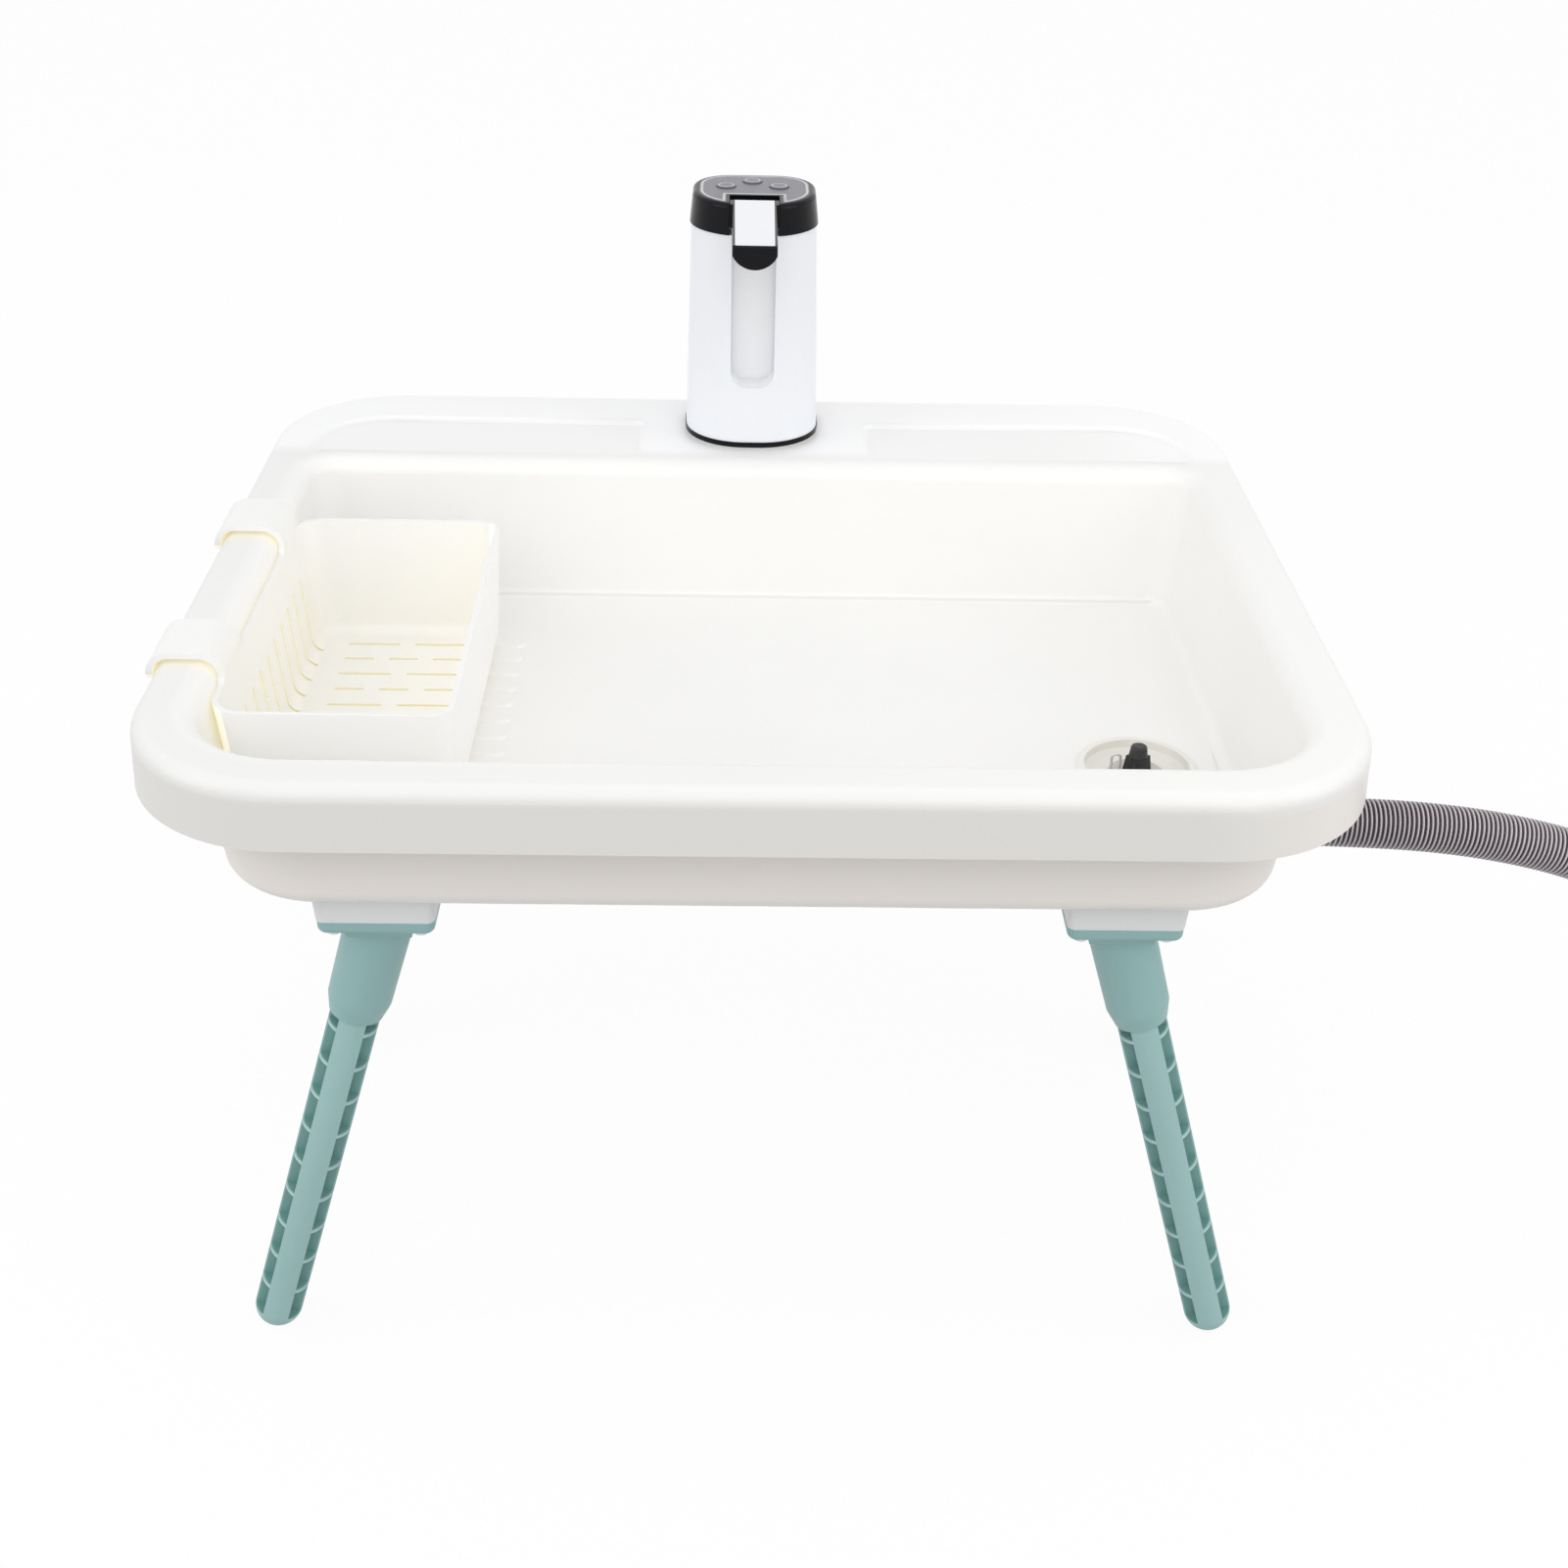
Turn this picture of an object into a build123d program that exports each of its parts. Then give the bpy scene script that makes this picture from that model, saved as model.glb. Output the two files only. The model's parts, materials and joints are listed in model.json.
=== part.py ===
from build123d import *

import os
from math import copysign, cos, dist, pi, radians, sin, tan

# A camping sink: a moulded basin on four push-in splayed legs, with a rechargeable pump tap on the
# back deck, a hook-on draining basket, a drain with a lift-out stopper and a ribbed waste hose.
# Millimetres. The origin is on the floor under the middle of the rim: X to the right, Y to the
# back, Z up.

# Basin rim and skirt
RIM_HEIGHT = 378.0
RIM_WIDTH = 560.0
RIM_DEPTH = 482.0
FRONT_CORNER = 77.0
BACK_CORNER = 71.0
RIM_EDGE = 8.0
RIM_INNER_EDGE = 10.0
SKIRT_DROP = 31.0
SKIRT_FLARE = 1.5
WALL = 3.0

# Bowl, at the rim and at its floor
BOWL_DEPTH = 80.0
BOWL_HALF_TOP = 252.0
BOWL_HALF_FLOOR = 244.0
BOWL_FRONT_TOP = -210.0
BOWL_FRONT_FLOOR = -206.0
BOWL_BACK_TOP = 129.0
BOWL_BACK_FLOOR = 120.5
BOWL_FRONT_CORNER = 47.0
BOWL_BACK_CORNER = 15.0
BOWL_FLOOR_RADIUS = 6.0
BOWL_OUTER_RADIUS = 10.0
FLOOR_HEIGHT = RIM_HEIGHT - BOWL_DEPTH
UNDERSIDE = FLOOR_HEIGHT - WALL

# Deck trays beside the tap, and the washboard under the basket
TRAY_INNER = 64.0
TRAY_OUTER = 258.0
TRAY_FRONT = 143.0
TRAY_BACK = 200.0
TRAY_DEPTH = 2.5
TRAY_SLOPE = 4.0
TRAY_CORNER = 8.0
TRAY_OUTER_CORNER = 45.0
WASHBOARD_RIGHT = -127.0
WASHBOARD_LEFT = -217.0
WASHBOARD_MIDDLE = -50.1
WASHBOARD_RIBS = 13
WASHBOARD_PITCH = 17.6
WASHBOARD_RIB = 9.0
WASHBOARD_RISE = 1.2
WASHBOARD_TAPER = 40.0

# Drain
DRAIN_X = 197.0
DRAIN_Y = -73.0
DISH_RADIUS = 27.0
FLANGE_RADIUS = 31.0
DRAIN_HOLE_RADIUS = 29.9
THREAD_RADIUS = 29.5
RECESS_RADIUS = 46.0
RECESS_DEPTH = 2.0
BOSS_DROP = 3.0
SUMP_RADIUS = 12.5

# Legs, sockets and pads
FRONT_PAD_X = 175.5
BACK_PAD_X = 179.5
FRONT_LEG_Y = -165.0
BACK_LEG_Y = 85.0
PAD_HEIGHT = 18.0
PAD_TOP = 57.5
PAD_BOTTOM = 55.5
PAD_FLARE = 3.5
PAD_FLARE_GROWTH = 3.0
PAD_CORNER = 4.0
PAD_FOOT_CORNER = 5.5
PAD_ROOF = 4.0
PAD_HOLLOW = (48.0, 26.0)
FLANGE_WIDTH = 55.0
FLANGE_DEPTH = 56.0
FLANGE_THICKNESS = 7.0
FLANGE_EDGE = 3.5
LEG_SPLAY = 16.25
LEG_RADIUS = 12.4
LEG_FIT = 0.1
SOCKET_LENGTH = 65.0
SOCKET_BORE_DEPTH = 55.0
SOCKET_TOP_RADIUS = 16.5
SOCKET_END_RADIUS = 15.75
SOCKET_MOUTH_RADIUS = 13.5
SOCKET_TAPER = 9.0
BLOCK_WIDTH = 34.0
BLOCK_DEPTH = 41.0
BLOCK_HEIGHT = 7.0
BLOCK_TAPER = 14.0
FOOT_FLAT = 0.6
LEG_BAR = 13.5
LEG_WEB = 3.0
LEG_DISC = 1.8
LEG_PITCH = 22.05
LEG_FIRST_DISC = 73.0
LEG_FIRST_CELL = 11.0
LEG_CELLS = 10
SCREW_SPREAD = 20.4
SCREW_RADIUS = 2.0

# Draining basket, with its sides at the top and at the bottom
BASKET_TOP = RIM_HEIGHT - 9.0
BASKET_HEIGHT = 69.5
BASKET_LEFT = (-250.3, -243.6)
BASKET_RIGHT = (-138.5, -142.0)
BASKET_FRONT = (-160.0, -157.5)
BASKET_BACK = (65.0, 63.0)
BASKET_LEFT_CORNER = 16.0
BASKET_RIGHT_CORNER = 11.0
BASKET_WALL = 2.5
BASKET_FLOOR = 3.0
BASKET_FLOOR_ROUND = 9.5
HOOK_THICKNESS = 3.0
HOOK_GAP = 2.9
HOOK_SIDE_GAP = 1.2
HOOK_BEND = 8.5
HOOK_WIDTH = 37.0
HOOK_MIDDLES = (37.0, -111.0)
HOOK_ROOT = 4.0
FLAP_DROP = 9.0
FLAP_CORNER = 5.0
HOOK_ROOT_DEPTH = 12.0
HOOK_ROOT_LEAN = 1.2
SLOT_WIDTH = 2.2
LONG_SLOT = 28.5
LONG_SLOT_SPOTS = (-18.25, 18.25)
SHORT_SLOT = 16.0
SHORT_SLOT_SPOTS = (-24.0, 0.0, 24.0)
SLOT_PITCH = 17.8
SLOT_ROWS = 11
SLOT_BACK_ROW = 44.9
SLOT_MIDDLE = -191.2
WALL_SLOT_END = -236.5
WALL_SLOT_TOP = RIM_HEIGHT - 33.0

# Pump tap, with its widths, depths and corners at the bottom and at the top
TAP_X = -1.5
TAP_Y = 189.0
TAP_BASE = RIM_HEIGHT + 4.3
TAP_SEAM = RIM_HEIGHT + 124.5
TAP_TOP = RIM_HEIGHT + 141.6
TAP_WIDTHS = (77.4, 71.4)
TAP_DEPTHS = (71.6, 67.6)
TAP_CORNERS = (25.5, 23.5)
LID_WIDTHS = (73.0, 69.2)
LID_DEPTHS = (69.2, 66.6)
LID_CORNERS = (24.0, 22.5)
TAP_WALL = 2.5
TAP_HOLE_RADIUS = 12.0
LID_WALL = 2.2
LID_PLATE = 2.5
PANEL_THICKNESS = 1.2
PANEL_BORDER = 3.4
PANEL_GAP = 0.1
NOTCH_BORDER = 1.6
NOTCH_HALF = 14.0
FRONT_ROUNDER = 9.0
NOTCH_BACK = 176.5
GROOVE_HALF = 12.5
GROOVE_BACK = 171.1
GROOVE_BOTTOM = RIM_HEIGHT + 37.0
GROOVE_CORNER = 9.0
BUTTON_RADIUS = 5.5
BUTTON_GAP = 0.3
BUTTON_TRAVEL = 0.8
BUTTON_RISE = 0.9
BUTTON_FLANGE = 1.2
BUTTON_STEM_RADIUS = 2.2
BOARD_DEPTH = 8.0
BUTTON_PLACES = {"left": (-17.5, 195.0), "middle": (-2.6, 206.0), "right": (12.5, 195.5)}

# Folding spout
SPOUT_PIVOT_Y = 164.0
SPOUT_PIVOT_Z = RIM_HEIGHT + 135.5
SPOUT_NOSE_Y = 75.0
SPOUT_HALF_DEPTH = 6.5
SPOUT_HALF_WIDTH = 11.85
SPOUT_COVER = 1.8
PIN_RADIUS = 1.5

# Waste hose
HOSE_RADIUS = 13.0
HOSE_VALLEY = 12.0
HOSE_BORE = 10.8
HOSE_RIBS = 200
HOSE_HEIGHT = RIM_HEIGHT - 112.0
HOSE_START_X = 240.0
COIL_OUTER_TURN = 146.0
COIL_INNER_TURN = 120.0
CUFF_LENGTH = 40.0

# The free stretch of the hose: level out of the elbow, down under its own weight, along the floor
HOSE_ROUTE = [
    (HOSE_START_X, DRAIN_Y, HOSE_HEIGHT),
    (312, DRAIN_Y, 266),
    (384, DRAIN_Y, 260),
    (449, DRAIN_Y, 243),
    (490.5, DRAIN_Y, 215),
    (520, DRAIN_Y, 175),
    (538.5, DRAIN_Y, 129),
    (551.5, DRAIN_Y, 90),
    (581, DRAIN_Y, 51),
    (624, DRAIN_Y, 26.5),
    (672, DRAIN_Y, HOSE_RADIUS),
    (724, DRAIN_Y, HOSE_RADIUS),
]

os.makedirs("parts", exist_ok=True)


def save(piece, name):
    """Labels a finished piece and writes it as one STEP file under its own name."""
    piece.part.label = name
    export_step(piece.part, f"parts/{name}.step")


def between(start, end, share):
    """The value a share of the way from start to end."""
    return start + (end - start) * share


def rounded_outline(height, left, right, front, back, low_radius, high_radius, along=Axis.Y):
    """A four-sided outline at a height, with one corner radius at each end of an axis."""
    with BuildSketch(Plane.XY.offset(height)) as outline:
        with BuildLine():
            Polyline((left, front), (right, front), (right, back), (left, back), close=True)
        make_face()
        fillet(outline.vertices().group_by(along)[0], low_radius)
        fillet(outline.vertices().group_by(along)[-1], high_radius)
    return outline.sketch


def rim_outline(height, inset=0.0):
    """The outline of the rim and its skirt, drawn in by an inset."""
    half_width = RIM_WIDTH / 2 - inset
    half_depth = RIM_DEPTH / 2 - inset
    return rounded_outline(
        height, -half_width, half_width, -half_depth, half_depth, FRONT_CORNER - inset, BACK_CORNER - inset
    )


def bowl_section(depth, wall=0.0):
    """The bowl's drafted outline at a depth below the rim, grown by a wall."""
    share = depth / BOWL_DEPTH
    half = between(BOWL_HALF_TOP, BOWL_HALF_FLOOR, share) + wall
    front = between(BOWL_FRONT_TOP, BOWL_FRONT_FLOOR, share) - wall
    back = between(BOWL_BACK_TOP, BOWL_BACK_FLOOR, share) + wall
    return rounded_outline(
        RIM_HEIGHT - depth, -half, half, front, back, BOWL_FRONT_CORNER + wall, BOWL_BACK_CORNER + wall
    )


def revolved(profile, plane, axis):
    """A turned piece from its half profile, given as points in a plane."""
    with BuildPart() as turned:
        with BuildSketch(plane):
            with BuildLine():
                Polyline(*profile, close=True)
            make_face()
        revolve(axis=axis)
    return turned


# Basin: rim, skirt, bowl and deck in one moulding
skirt_bottom = RIM_HEIGHT - SKIRT_DROP
with BuildPart() as rim_space:
    inside_flare = SKIRT_FLARE * WALL / SKIRT_DROP
    loft(
        [rim_outline(skirt_bottom, WALL - SKIRT_FLARE), rim_outline(RIM_HEIGHT - WALL, WALL - inside_flare)],
        ruled=True,
    )
    fillet(rim_space.faces().sort_by(Axis.Z)[-1].edges(), RIM_EDGE - WALL)

with BuildPart() as bowl_body:
    loft([bowl_section(BOWL_DEPTH + WALL, WALL), bowl_section(1, WALL)], ruled=True)
    fillet(bowl_body.faces().sort_by(Axis.Z)[0].edges(), BOWL_OUTER_RADIUS)

with BuildPart() as bowl_space:
    loft([bowl_section(BOWL_DEPTH), bowl_section(-1)], ruled=True)
    fillet(bowl_space.faces().sort_by(Axis.Z)[0].edges(), BOWL_FLOOR_RADIUS)


def tray_outline(height, inset):
    """The right-hand deck tray's outline, with its wide corner behind on the outside."""
    with BuildSketch(Plane.XY.offset(height)) as outline:
        left = TRAY_INNER + inset
        right = TRAY_OUTER - inset
        front = TRAY_FRONT + inset
        back = TRAY_BACK - inset
        with BuildLine():
            Polyline((left, front), (right, front), (right, back), (left, back), close=True)
        make_face()
        wide = outline.vertices().sort_by(lambda corner: corner.X + corner.Y)[-1]
        others = [corner for corner in outline.vertices() if corner != wide]
        fillet(others, TRAY_CORNER - inset)
        wide = outline.vertices().sort_by(lambda corner: corner.X + corner.Y)[-1]
        fillet(wide, TRAY_OUTER_CORNER - inset)
    return outline.sketch


with BuildPart() as right_tray:
    loft([tray_outline(RIM_HEIGHT - TRAY_DEPTH, TRAY_SLOPE), tray_outline(RIM_HEIGHT, 0)], ruled=True)

with BuildPart() as right_backing:
    extrude(tray_outline(RIM_HEIGHT - TRAY_DEPTH - WALL, 0), amount=TRAY_DEPTH)

with BuildPart() as basin:
    loft([rim_outline(skirt_bottom, -SKIRT_FLARE), rim_outline(RIM_HEIGHT)], ruled=True)
    fillet(basin.faces().sort_by(Axis.Z)[-1].edges(), RIM_EDGE)
    add(rim_space.part, mode=Mode.SUBTRACT)
    add(bowl_body.part)
    deck_underside = basin.faces().filter_by_position(Axis.Z, RIM_HEIGHT - WALL, RIM_HEIGHT - WALL)[0]
    fillet(deck_underside.inner_wires()[0].edges(), RIM_INNER_EDGE - WALL)
    add(right_backing.part)
    add(mirror(right_backing.part, about=Plane.YZ, mode=Mode.PRIVATE))
    add(bowl_space.part, mode=Mode.SUBTRACT)
    fillet(basin.faces().sort_by(Axis.Z)[-1].inner_wires()[0].edges(), RIM_INNER_EDGE)
    add(right_tray.part, mode=Mode.SUBTRACT)
    add(mirror(right_tray.part, about=Plane.YZ, mode=Mode.PRIVATE), mode=Mode.SUBTRACT)
    with BuildSketch(Plane.XY.offset(FLOOR_HEIGHT)):
        with Locations(((WASHBOARD_LEFT + WASHBOARD_RIGHT) / 2, WASHBOARD_MIDDLE)):
            with GridLocations(0, WASHBOARD_PITCH, 1, WASHBOARD_RIBS):
                SlotOverall(WASHBOARD_RIGHT - WASHBOARD_LEFT, WASHBOARD_RIB)
    extrude(amount=WASHBOARD_RISE, taper=WASHBOARD_TAPER)
    with Locations((DRAIN_X, DRAIN_Y, UNDERSIDE - BOSS_DROP / 2)):
        Cylinder(RECESS_RADIUS, BOSS_DROP)
    with Locations((DRAIN_X, DRAIN_Y, FLOOR_HEIGHT - RECESS_DEPTH / 2)):
        Cone(FLANGE_RADIUS + 0.5, RECESS_RADIUS, RECESS_DEPTH, mode=Mode.SUBTRACT)
    with Locations((DRAIN_X, DRAIN_Y, FLOOR_HEIGHT)):
        Hole(DRAIN_HOLE_RADIUS)
    with Locations((TAP_X, TAP_Y, RIM_HEIGHT)):
        Hole(TAP_HOLE_RADIUS)
save(basin, "basin")

# Drain body: a shallow dish with a sump, its thread passing through the basin floor
DISH_TOP = FLOOR_HEIGHT - 0.2
SEAT = FLOOR_HEIGHT - RECESS_DEPTH
TAILPIPE_RADIUS = 11.2
drain_axis = Axis((DRAIN_X, DRAIN_Y, 0), (0, 0, 1))
drain_plane = Plane(origin=(DRAIN_X, DRAIN_Y, 0), x_dir=(1, 0, 0), z_dir=(0, -1, 0))
drain_body = revolved(
    [
        (DISH_RADIUS, DISH_TOP),
        (DISH_RADIUS, DISH_TOP - 4.3),
        (DISH_RADIUS - 2.5, DISH_TOP - 5.8),
        (SUMP_RADIUS, DISH_TOP - 6.8),
        (SUMP_RADIUS, DISH_TOP - 11.8),
        (9.2, DISH_TOP - 13.8),
        (9.2, DISH_TOP - 22.8),
        (TAILPIPE_RADIUS, DISH_TOP - 22.8),
        (TAILPIPE_RADIUS, DISH_TOP - 15.8),
        (SUMP_RADIUS + 2.5, DISH_TOP - 13.8),
        (SUMP_RADIUS + 2.5, DISH_TOP - 10.3),
        (THREAD_RADIUS - 3, DISH_TOP - 9.3),
        (THREAD_RADIUS - 3, DISH_TOP - 18.8),
        (THREAD_RADIUS, DISH_TOP - 18.8),
        (THREAD_RADIUS, SEAT),
        (FLANGE_RADIUS, SEAT),
        (FLANGE_RADIUS, DISH_TOP - 0.7),
        (FLANGE_RADIUS - 0.9, DISH_TOP),
    ],
    drain_plane,
    drain_axis,
)
save(drain_body, "drain_body")

GASKET_THICKNESS = 2.0
NUT_HEIGHT = 8.0
NUT_RADIUS = 38.0
gasket_top = UNDERSIDE - BOSS_DROP
with BuildPart() as drain_gasket:
    with BuildSketch(Plane.XY.offset(gasket_top - GASKET_THICKNESS)):
        with Locations((DRAIN_X, DRAIN_Y)):
            Circle(NUT_RADIUS - 2)
            Circle(DRAIN_HOLE_RADIUS, mode=Mode.SUBTRACT)
    extrude(amount=GASKET_THICKNESS)
save(drain_gasket, "drain_gasket")

# Ring nut with finger notches round its edge
with BuildPart() as drain_nut:
    with BuildSketch(Plane.XY.offset(gasket_top - GASKET_THICKNESS - NUT_HEIGHT)):
        with Locations((DRAIN_X, DRAIN_Y)):
            Circle(NUT_RADIUS)
            Circle(THREAD_RADIUS + 0.05, mode=Mode.SUBTRACT)
            with PolarLocations(NUT_RADIUS + 1, 10):
                Circle(3.5, mode=Mode.SUBTRACT)
    extrude(amount=NUT_HEIGHT)
save(drain_nut, "drain_nut")

# Elbow: a pot under the sump with a barbed pipe to the right for the hose
POT_TOP = DISH_TOP - 16.3
POT_BOTTOM = HOSE_HEIGHT - 14.0
POT_RADIUS = 14.0
PIPE_RADIUS = 10.2
PIPE_BORE = 8.6
PIPE_END_X = 264.0
pipe_plane = Plane(origin=(0, DRAIN_Y, HOSE_HEIGHT), x_dir=(1, 0, 0), z_dir=(0, -1, 0))
pipe_axis = Axis((0, DRAIN_Y, HOSE_HEIGHT), (1, 0, 0))
barbs = []
for step in range(4):
    barb_x = HOSE_START_X + 3 + 5 * step
    barbs += [(barb_x, PIPE_RADIUS), (barb_x, PIPE_RADIUS + 0.45), (barb_x + 3, PIPE_RADIUS)]
pipe = revolved(
    [
        (DRAIN_X, 0),
        (DRAIN_X, PIPE_RADIUS),
        (HOSE_START_X - 5, PIPE_RADIUS),
        (HOSE_START_X - 5, HOSE_RADIUS),
        (HOSE_START_X, HOSE_RADIUS),
        (HOSE_START_X, PIPE_RADIUS),
        *barbs,
        (PIPE_END_X, PIPE_RADIUS - 0.6),
        (PIPE_END_X, 0),
    ],
    pipe_plane,
    pipe_axis,
)
with BuildPart() as drain_elbow:
    with Locations((DRAIN_X, DRAIN_Y, (POT_TOP + POT_BOTTOM) / 2)):
        Cylinder(POT_RADIUS, POT_TOP - POT_BOTTOM)
    add(pipe.part)
    with Locations((DRAIN_X, DRAIN_Y, POT_TOP)):
        CounterBoreHole(PIPE_BORE, TAILPIPE_RADIUS + 0.1, 7.0, depth=POT_TOP - POT_BOTTOM - 3)
    with BuildSketch(Plane.YZ.offset(DRAIN_X)):
        with Locations((DRAIN_Y, HOSE_HEIGHT)):
            Circle(PIPE_BORE)
    extrude(amount=PIPE_END_X - DRAIN_X, mode=Mode.SUBTRACT)
save(drain_elbow, "drain_elbow")

# Clamp round the hose where it is pushed on the pipe: a band and its worm screw housing
CLAMP_X = HOSE_START_X + 4
CLAMP_WIDTH = 9.0
CLAMP_BAND = 1.2
with BuildPart() as hose_clamp:
    with BuildSketch(Plane.YZ.offset(CLAMP_X)):
        with Locations((DRAIN_Y, HOSE_HEIGHT)):
            Circle(HOSE_RADIUS + CLAMP_BAND + 0.05)
        with Locations((DRAIN_Y, HOSE_HEIGHT + HOSE_RADIUS + 3.4)):
            RectangleRounded(13, 7, 2.5)
        with Locations((DRAIN_Y, HOSE_HEIGHT)):
            Circle(HOSE_RADIUS + 0.05, mode=Mode.SUBTRACT)
    extrude(amount=CLAMP_WIDTH)
    with BuildSketch(Plane.XZ.offset(-DRAIN_Y + 4)):
        with Locations((CLAMP_X + CLAMP_WIDTH / 2, HOSE_HEIGHT + HOSE_RADIUS + 3.9)):
            RegularPolygon(2.9, 6)
    extrude(amount=5.5)
save(hose_clamp, "hose_clamp")

# Stopper: a disc over the sump with its seal, a star hub, a knob and a small pull loop
STOPPER_SEAT = DISH_TOP - 6.4
STOPPER_TOP = STOPPER_SEAT + 2.4
stopper_disc = revolved(
    [
        (0, STOPPER_SEAT - 5),
        (8.5, STOPPER_SEAT - 5),
        (8.5, STOPPER_SEAT),
        (14.6, STOPPER_SEAT),
        (15.2, STOPPER_SEAT + 0.8),
        (14.2, STOPPER_TOP),
        (0, STOPPER_TOP),
    ],
    drain_plane,
    drain_axis,
)
save(stopper_disc, "stopper_disc")

with BuildPart() as stopper_seal:
    with BuildSketch(Plane.XY.offset(STOPPER_SEAT - 4)):
        with Locations((DRAIN_X, DRAIN_Y)):
            Circle(SUMP_RADIUS - 0.1)
            Circle(8.5, mode=Mode.SUBTRACT)
    extrude(amount=3.2)
    outside = stopper_seal.faces().filter_by(GeomType.CYLINDER).sort_by(SortBy.AREA)[-1]
    fillet(outside.edges(), 0.9)
save(stopper_seal, "stopper_seal")

HUB_HEIGHT = 10.0
HUB_RADIUS = 7.6
with BuildPart() as stopper_hub:
    with BuildSketch(Plane.XY.offset(STOPPER_TOP)):
        with Locations((DRAIN_X, DRAIN_Y)):
            RegularPolygon(HUB_RADIUS, 3)
            RegularPolygon(HUB_RADIUS, 3, rotation=60)
    extrude(amount=HUB_HEIGHT, taper=4)
save(stopper_hub, "stopper_hub")

KNOB_TOP = RIM_HEIGHT - 68.5
knob_base = STOPPER_TOP + HUB_HEIGHT
stopper_knob = revolved(
    [
        (0, knob_base),
        (4.9, knob_base),
        (4.6, knob_base + 1.6),
        (4.3, KNOB_TOP - 1.6),
        (3.9, KNOB_TOP - 0.5),
        (2.8, KNOB_TOP),
        (0, KNOB_TOP),
    ],
    drain_plane,
    drain_axis,
)
save(stopper_knob, "stopper_knob")

LOOP_WIDTH = 5.6
LOOP_HEIGHT = 11.0
LOOP_WIRE = 1.2
LOOP_CORNER = 2.6
with BuildPart() as pull_loop:
    with BuildSketch(Plane.XZ.offset(-DRAIN_Y - LOOP_WIRE / 2)):
        with Locations((DRAIN_X - 11.2, STOPPER_TOP + LOOP_HEIGHT / 2)):
            RectangleRounded(LOOP_WIDTH, LOOP_HEIGHT, LOOP_CORNER)
            RectangleRounded(
                LOOP_WIDTH - 2 * LOOP_WIRE,
                LOOP_HEIGHT - 2 * LOOP_WIRE,
                LOOP_CORNER - LOOP_WIRE,
                mode=Mode.SUBTRACT,
            )
    extrude(amount=LOOP_WIRE)
    chamfer(pull_loop.edges().group_by(Axis.Y)[0], 0.3)
save(pull_loop, "pull_loop")

# Pads, sockets and legs. A leg leans outwards in the XZ plane. A corner is the middle of its flange.
CORNERS = {
    "front_left": (-FRONT_PAD_X, FRONT_LEG_Y),
    "front_right": (FRONT_PAD_X, FRONT_LEG_Y),
    "back_left": (-BACK_PAD_X, BACK_LEG_Y),
    "back_right": (BACK_PAD_X, BACK_LEG_Y),
}
PAD_BASE = UNDERSIDE - PAD_HEIGHT
SOCKET_TOP = PAD_BASE - FLANGE_THICKNESS
lean_sin = sin(radians(LEG_SPLAY))
lean_cos = cos(radians(LEG_SPLAY))
FOOT_CENTRE = (SOCKET_TOP - LEG_RADIUS + FOOT_FLAT) / lean_cos
spigot_top = SOCKET_LENGTH - SOCKET_BORE_DEPTH + 0.3


def side_of(corner):
    """Which way is outwards at a corner: -1 on the left, 1 on the right."""
    return copysign(1, corner[0])


def leg_axis(corner):
    """A leg's axis, from the underside of its flange, pointing down and outwards."""
    return Axis((*corner, SOCKET_TOP), (side_of(corner) * lean_sin, 0, -lean_cos))


def profile_plane(corner):
    """The upright plane of a leg's profile: x across the leg, y down along it."""
    side = side_of(corner)
    return Plane(
        origin=(*corner, SOCKET_TOP), x_dir=(side * lean_cos, 0, lean_sin), z_dir=(0, side, 0)
    )


def across_plane(corner, along):
    """A plane square to the leg's axis at a distance along it, with x across and outwards."""
    axis = leg_axis(corner)
    origin = axis.position + axis.direction * along
    return Plane(origin=origin, x_dir=(side_of(corner) * lean_cos, 0, lean_sin), z_dir=axis.direction)


def square_section(height, side_length, corner, centre):
    """A rounded square at a height."""
    with BuildSketch(Plane.XY.offset(height)) as section:
        with Locations(centre):
            RectangleRounded(side_length, side_length, corner)
    return section.sketch


def make_pad(name, corner):
    """A block under the bowl, flared where it meets it, hollow between its four screw posts."""
    with BuildPart() as pad:
        neck = square_section(UNDERSIDE - PAD_FLARE, PAD_TOP, PAD_CORNER, corner)
        foot = square_section(UNDERSIDE, PAD_TOP + PAD_FLARE_GROWTH, PAD_FOOT_CORNER, corner)
        loft([square_section(PAD_BASE, PAD_BOTTOM, PAD_CORNER, corner), neck], ruled=True)
        loft([neck, foot], ruled=True)
        with BuildSketch(Plane.XY.offset(UNDERSIDE)):
            with Locations(corner):
                Rectangle(*PAD_HOLLOW)
                Rectangle(*reversed(PAD_HOLLOW))
        extrude(amount=-(PAD_HEIGHT - PAD_ROOF), mode=Mode.SUBTRACT)
        with Locations((*corner, PAD_BASE)):
            with GridLocations(2 * SCREW_SPREAD, 2 * SCREW_SPREAD, 2, 2):
                Cylinder(SCREW_RADIUS + 0.1, 26, mode=Mode.SUBTRACT)
    save(pad, f"leg_pad_{name}")


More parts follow.
